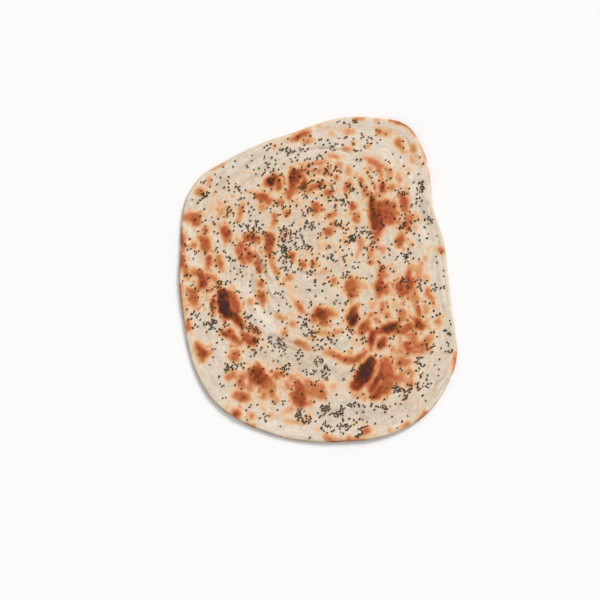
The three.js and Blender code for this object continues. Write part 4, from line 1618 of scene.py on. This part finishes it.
@dataclass
class NigellaSeeds:
    """The seeds: small black wedges, pointed at one end, that lie scattered and in groups on the crust."""

    bread: Malawach
    strewn: int = 800  # seeds outside the groups
    crowding: float = 0.57  # 0.5 strews them evenly, and more than that closer together in the middle
    group_spread: float = 1.45  # what the groups' scatters are multiplied by
    length: float = 2.95
    width: float = 2.1
    height: float = 1.5
    sizes: Point = (0.78, 1.18)  # smallest and largest seed, beside these measures
    stretch: Point = (0.9, 1.1)  # shortest and longest beside the seed's width
    gap: float = 2.3  # least distance between the middles of two seeds, once they have rolled apart
    rolls: int = 9
    sunk: float = 0.25
    bare_rim: float = 4.0
    slope_step: float = 1.2  # stretch over which the crust's slope is read
    tilt: float = 0.12  # how far the seeds' long axes slope up or down by chance
    settling: float = 0.9  # how closely they then follow the crust, up to 1
    corners: float = 0.16  # how far the section's three corners stand out
    fullness: float = 0.6  # the lower, the blunter the ends
    blunt_end: float = 1.12  # the section's size at the blunt end
    narrowing: float = 0.5  # what it loses on the way to the pointed end
    rings: int = 4
    columns: int = 6
    seed: int = 77

    def shape(self) -> tuple[Array, list[list[int]]]:
        """One seed with its long axis on X.

        The section is a rounded triangle, 1 + c cos 3a, and its radius along the seed is a power of half a
        sine wave, weighted towards the blunt end.

        Returns:
            Points for a length, width and height of 1, and the faces.
        """
        share = np.arange(1, self.rings + 1) / (self.rings + 1)
        angle = np.arange(self.columns) / self.columns * TURN
        radius = 0.5 * np.sin(np.pi * share) ** self.fullness * (self.blunt_end - self.narrowing * share)
        section = radius[:, None] * (1 + self.corners * np.cos(3 * angle))
        x = np.repeat(share - 0.5, self.columns)
        body = np.stack([x, (section * np.cos(angle)).ravel(), (section * np.sin(angle)).ravel()], axis=1)
        points = np.vstack([[-0.5, 0, 0], body, [0.5, 0, 0]])
        faces = []
        for column in range(self.columns):
            near, far = 1 + column, 1 + (column + 1) % self.columns
            faces.append([0, far, near])
            for ring in range(self.rings - 1):
                step = ring * self.columns
                after = step + self.columns
                faces.append([near + step, far + step, far + after, near + after])
            step = (self.rings - 1) * self.columns
            faces.append([near + step, far + step, len(points) - 1])
        return points, faces

    def places(self, rng: np.random.Generator) -> tuple[Array, Array]:
        """Where the seeds lie: some strewn all over, the rest in groups, rolled apart where they overlap.

        Args:
            rng: the source of chance.

        Returns:
            x and y.
        """
        outline = self.bread.outline
        turn = rng.uniform(size=self.strewn)
        x, y = outline.place(turn, rng.uniform(size=self.strewn) ** self.crowding)
        spots = [x + 1j * y]
        for count, scatter, start, end in SEED_GROUPS:
            line = complex(*start) + rng.uniform(size=count) * (complex(*end) - complex(*start))
            strayed = rng.normal(size=count) + 1j * rng.normal(size=count)
            spots.append(line + self.group_spread * scatter * strayed)
        spot = np.concatenate(spots)
        itself = 0.01  # stands for a seed's distance to itself, which is 0
        for _ in range(self.rolls):
            between = spot[:, None] - spot[None, :]
            away = np.maximum(abs(between), itself)
            spot = spot + (between / away * np.clip(self.gap - away, 0, None) / 2).sum(axis=1)
        inside = outline.polar(spot.real, spot.imag)[2] > self.bare_rim
        return spot.real[inside], spot.imag[inside]

    def build(self, finish: SeedCoat) -> bpy.types.Object:
        """Lays a copy of the seed at each place, turned at random, along the slope of the crust.

        Args:
            finish: the seeds' finish.

        Returns:
            The seeds, as one piece.
        """
        rng = np.random.default_rng(self.seed)
        x, y = self.places(rng)
        count = len(x)
        z = self.bread.top(x, y)["z"]
        slope_x = (self.bread.top(x + self.slope_step, y)["z"] - z) / self.slope_step
        slope_y = (self.bread.top(x, y + self.slope_step)["z"] - z) / self.slope_step
        up = np.stack([-slope_x, -slope_y, np.ones(count)], axis=1)
        up /= np.linalg.norm(up, axis=1, keepdims=True)
        yaw = rng.uniform(0, TURN, count)
        along = np.stack([np.cos(yaw), np.sin(yaw), rng.normal(0, self.tilt, count)], axis=1)
        along -= (along * up).sum(axis=1, keepdims=True) * up * self.settling
        along /= np.linalg.norm(along, axis=1, keepdims=True)
        across = np.cross(up, along)
        across /= np.linalg.norm(across, axis=1, keepdims=True)
        lean = np.cross(along, across)

        shape, faces = self.shape()
        roll = rng.uniform(0, TURN, count)[:, None]
        size = rng.uniform(*self.sizes, (count, 1))
        local_y = shape[:, 1] * np.cos(roll) - shape[:, 2] * np.sin(roll)
        local_z = shape[:, 1] * np.sin(roll) + shape[:, 2] * np.cos(roll)
        local = np.stack(
            [
                size * self.length * rng.uniform(*self.stretch, (count, 1)) * shape[:, 0],
                size * self.width * local_y,
                size * self.height * local_z,
            ],
            axis=2,
        )
        axes = np.stack([along, across, lean], axis=1)
        points = np.einsum("nvk,nkc->nvc", local, axes)
        seat = z + 0.5 * size[:, 0] * self.height - self.sunk
        points += np.stack([x, y, seat], axis=1)[:, None, :]
        shade = np.repeat(rng.uniform(size=count), len(shape))
        first = np.arange(count) * len(shape)
        all_faces = [(np.array(face) + first[:, None]).tolist() for face in faces]
        joined = [face for group in all_faces for face in group]
        seeds = new_piece("nigella_seeds", points.reshape(-1, 3), joined, {"shade": shade})
        seeds.data.materials.append(finish.make())
        LOG.info("%d seeds", count)
        return seeds


# --- Studio ---------------------------------------------------------------------------------------


class Stand(Enum):
    """Where the lamp and the camera stand, as a bearing and a height in degrees, seen from the bread."""

    LAMP = (52, 38)
    CAMERA = (-90, 80)

    def angles(self) -> Point:
        """The bearing and the height in radians."""
        bearing, height = self.value
        return math.radians(bearing), math.radians(height)

    def facing(self) -> tuple[float, float, float]:
        """The rotation of what stands there and looks at the bread."""
        bearing, height = self.angles()
        return math.pi / 2 - height, 0, bearing + math.pi / 2


@dataclass
class Studio:
    """A pale floor, soft light and a camera that looks down on the bread."""

    aim: tuple[float, float, float] = (-18.9, -25.4, 4.0)
    lens: float = 100.0
    sensor: float = 36.0
    farthest: float = 50.0  # how far the camera sees, in metres
    frame_width: float = 648.0  # what the frame's width takes in at the bread
    floor_size: float = 6000.0
    floor_drop: float = 0.2  # how far the floor lies under the bread
    floor_colour: str = "#fbfbfb"
    floor_roughness: float = 0.9
    floor_specular: float = 0.1
    sky: float = 0.6
    sky_colour: tuple[float, float, float, float] = (1.0, 1.0, 1.0, 1.0)
    key: float = 2.1
    key_colour: tuple[float, float, float] = (1.0, 0.99, 0.975)
    key_spread: float = 24.0  # how wide the lamp looks from the bread, in degrees

    def floor(self) -> bpy.types.Object:
        """A flat pale floor just under the bread.

        Returns:
            The floor.
        """
        half = self.floor_size / 2
        ways = ((-half, -half), (half, -half), (half, half), (-half, half))
        corners = np.array([(x, y, -self.floor_drop) for x, y in ways])
        floor = new_piece("studio_floor", corners, [[0, 1, 2, 3]], {})
        material, tree = new_material("matt_pale_floor")
        finished(
            tree,
            {
                "Base Color": linear(self.floor_colour),
                "Roughness": self.floor_roughness,
                "Specular IOR Level": self.floor_specular,
            },
        )
        floor.data.materials.append(material)
        return floor

    def lights(self) -> None:
        """An even white sky and one soft sun from the upper right."""
        world = bpy.data.worlds.new("studio")
        world.use_nodes = True
        background = world.node_tree.nodes["Background"]
        background.inputs["Strength"].default_value = self.sky
        background.inputs["Color"].default_value = self.sky_colour
        bpy.context.scene.world = world
        lamp = bpy.data.lights.new("key", "SUN")
        lamp.energy = self.key
        lamp.angle = math.radians(self.key_spread)
        lamp.color = self.key_colour
        key = bpy.data.objects.new("key", lamp)
        key.rotation_euler = Stand.LAMP.facing()
        bpy.context.scene.collection.objects.link(key)

    def camera(self) -> None:
        """The camera in front of the bread, high above it, with its frame centred on the aim."""
        data = bpy.data.cameras.new("camera")
        data.lens = self.lens
        data.sensor_width = self.sensor
        data.clip_end = self.farthest
        camera = bpy.data.objects.new("camera", data)
        distance = self.frame_width * self.lens / self.sensor
        bearing, height = Stand.CAMERA.angles()
        across = distance * math.cos(height)
        x, y, z = self.aim
        place = (
            x + across * math.cos(bearing),
            y + across * math.sin(bearing),
            z + distance * math.sin(height),
        )
        camera.location = [value * METRE for value in place]
        camera.rotation_euler = Stand.CAMERA.facing()
        bpy.context.scene.collection.objects.link(camera)
        bpy.context.scene.camera = camera

    def build(self) -> None:
        """Sets the whole studio up."""
        bpy.context.scene.view_settings.view_transform = "Standard"
        self.floor()
        self.lights()
        self.camera()


def main() -> None:
    """Builds the studio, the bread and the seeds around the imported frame."""
    logging.basicConfig(level=logging.INFO, format="%(name)s: %(message)s")
    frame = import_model()
    Studio().build()

    columns = 1056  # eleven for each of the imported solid's columns, one for each cell round the top's edge
    outline = Outline.of_node(frame["nodes"]["flatbread"], middle=(-12, 30), columns=columns)
    bread = Malawach(outline)
    dough = BakedDough()
    crust = bread.build(dough)
    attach(crust, "root")
    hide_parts("flatbread")

    coat = SeedCoat()
    seeds = NigellaSeeds(bread).build(coat)
    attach(seeds, "root")


if __name__ == "__main__":
    main()
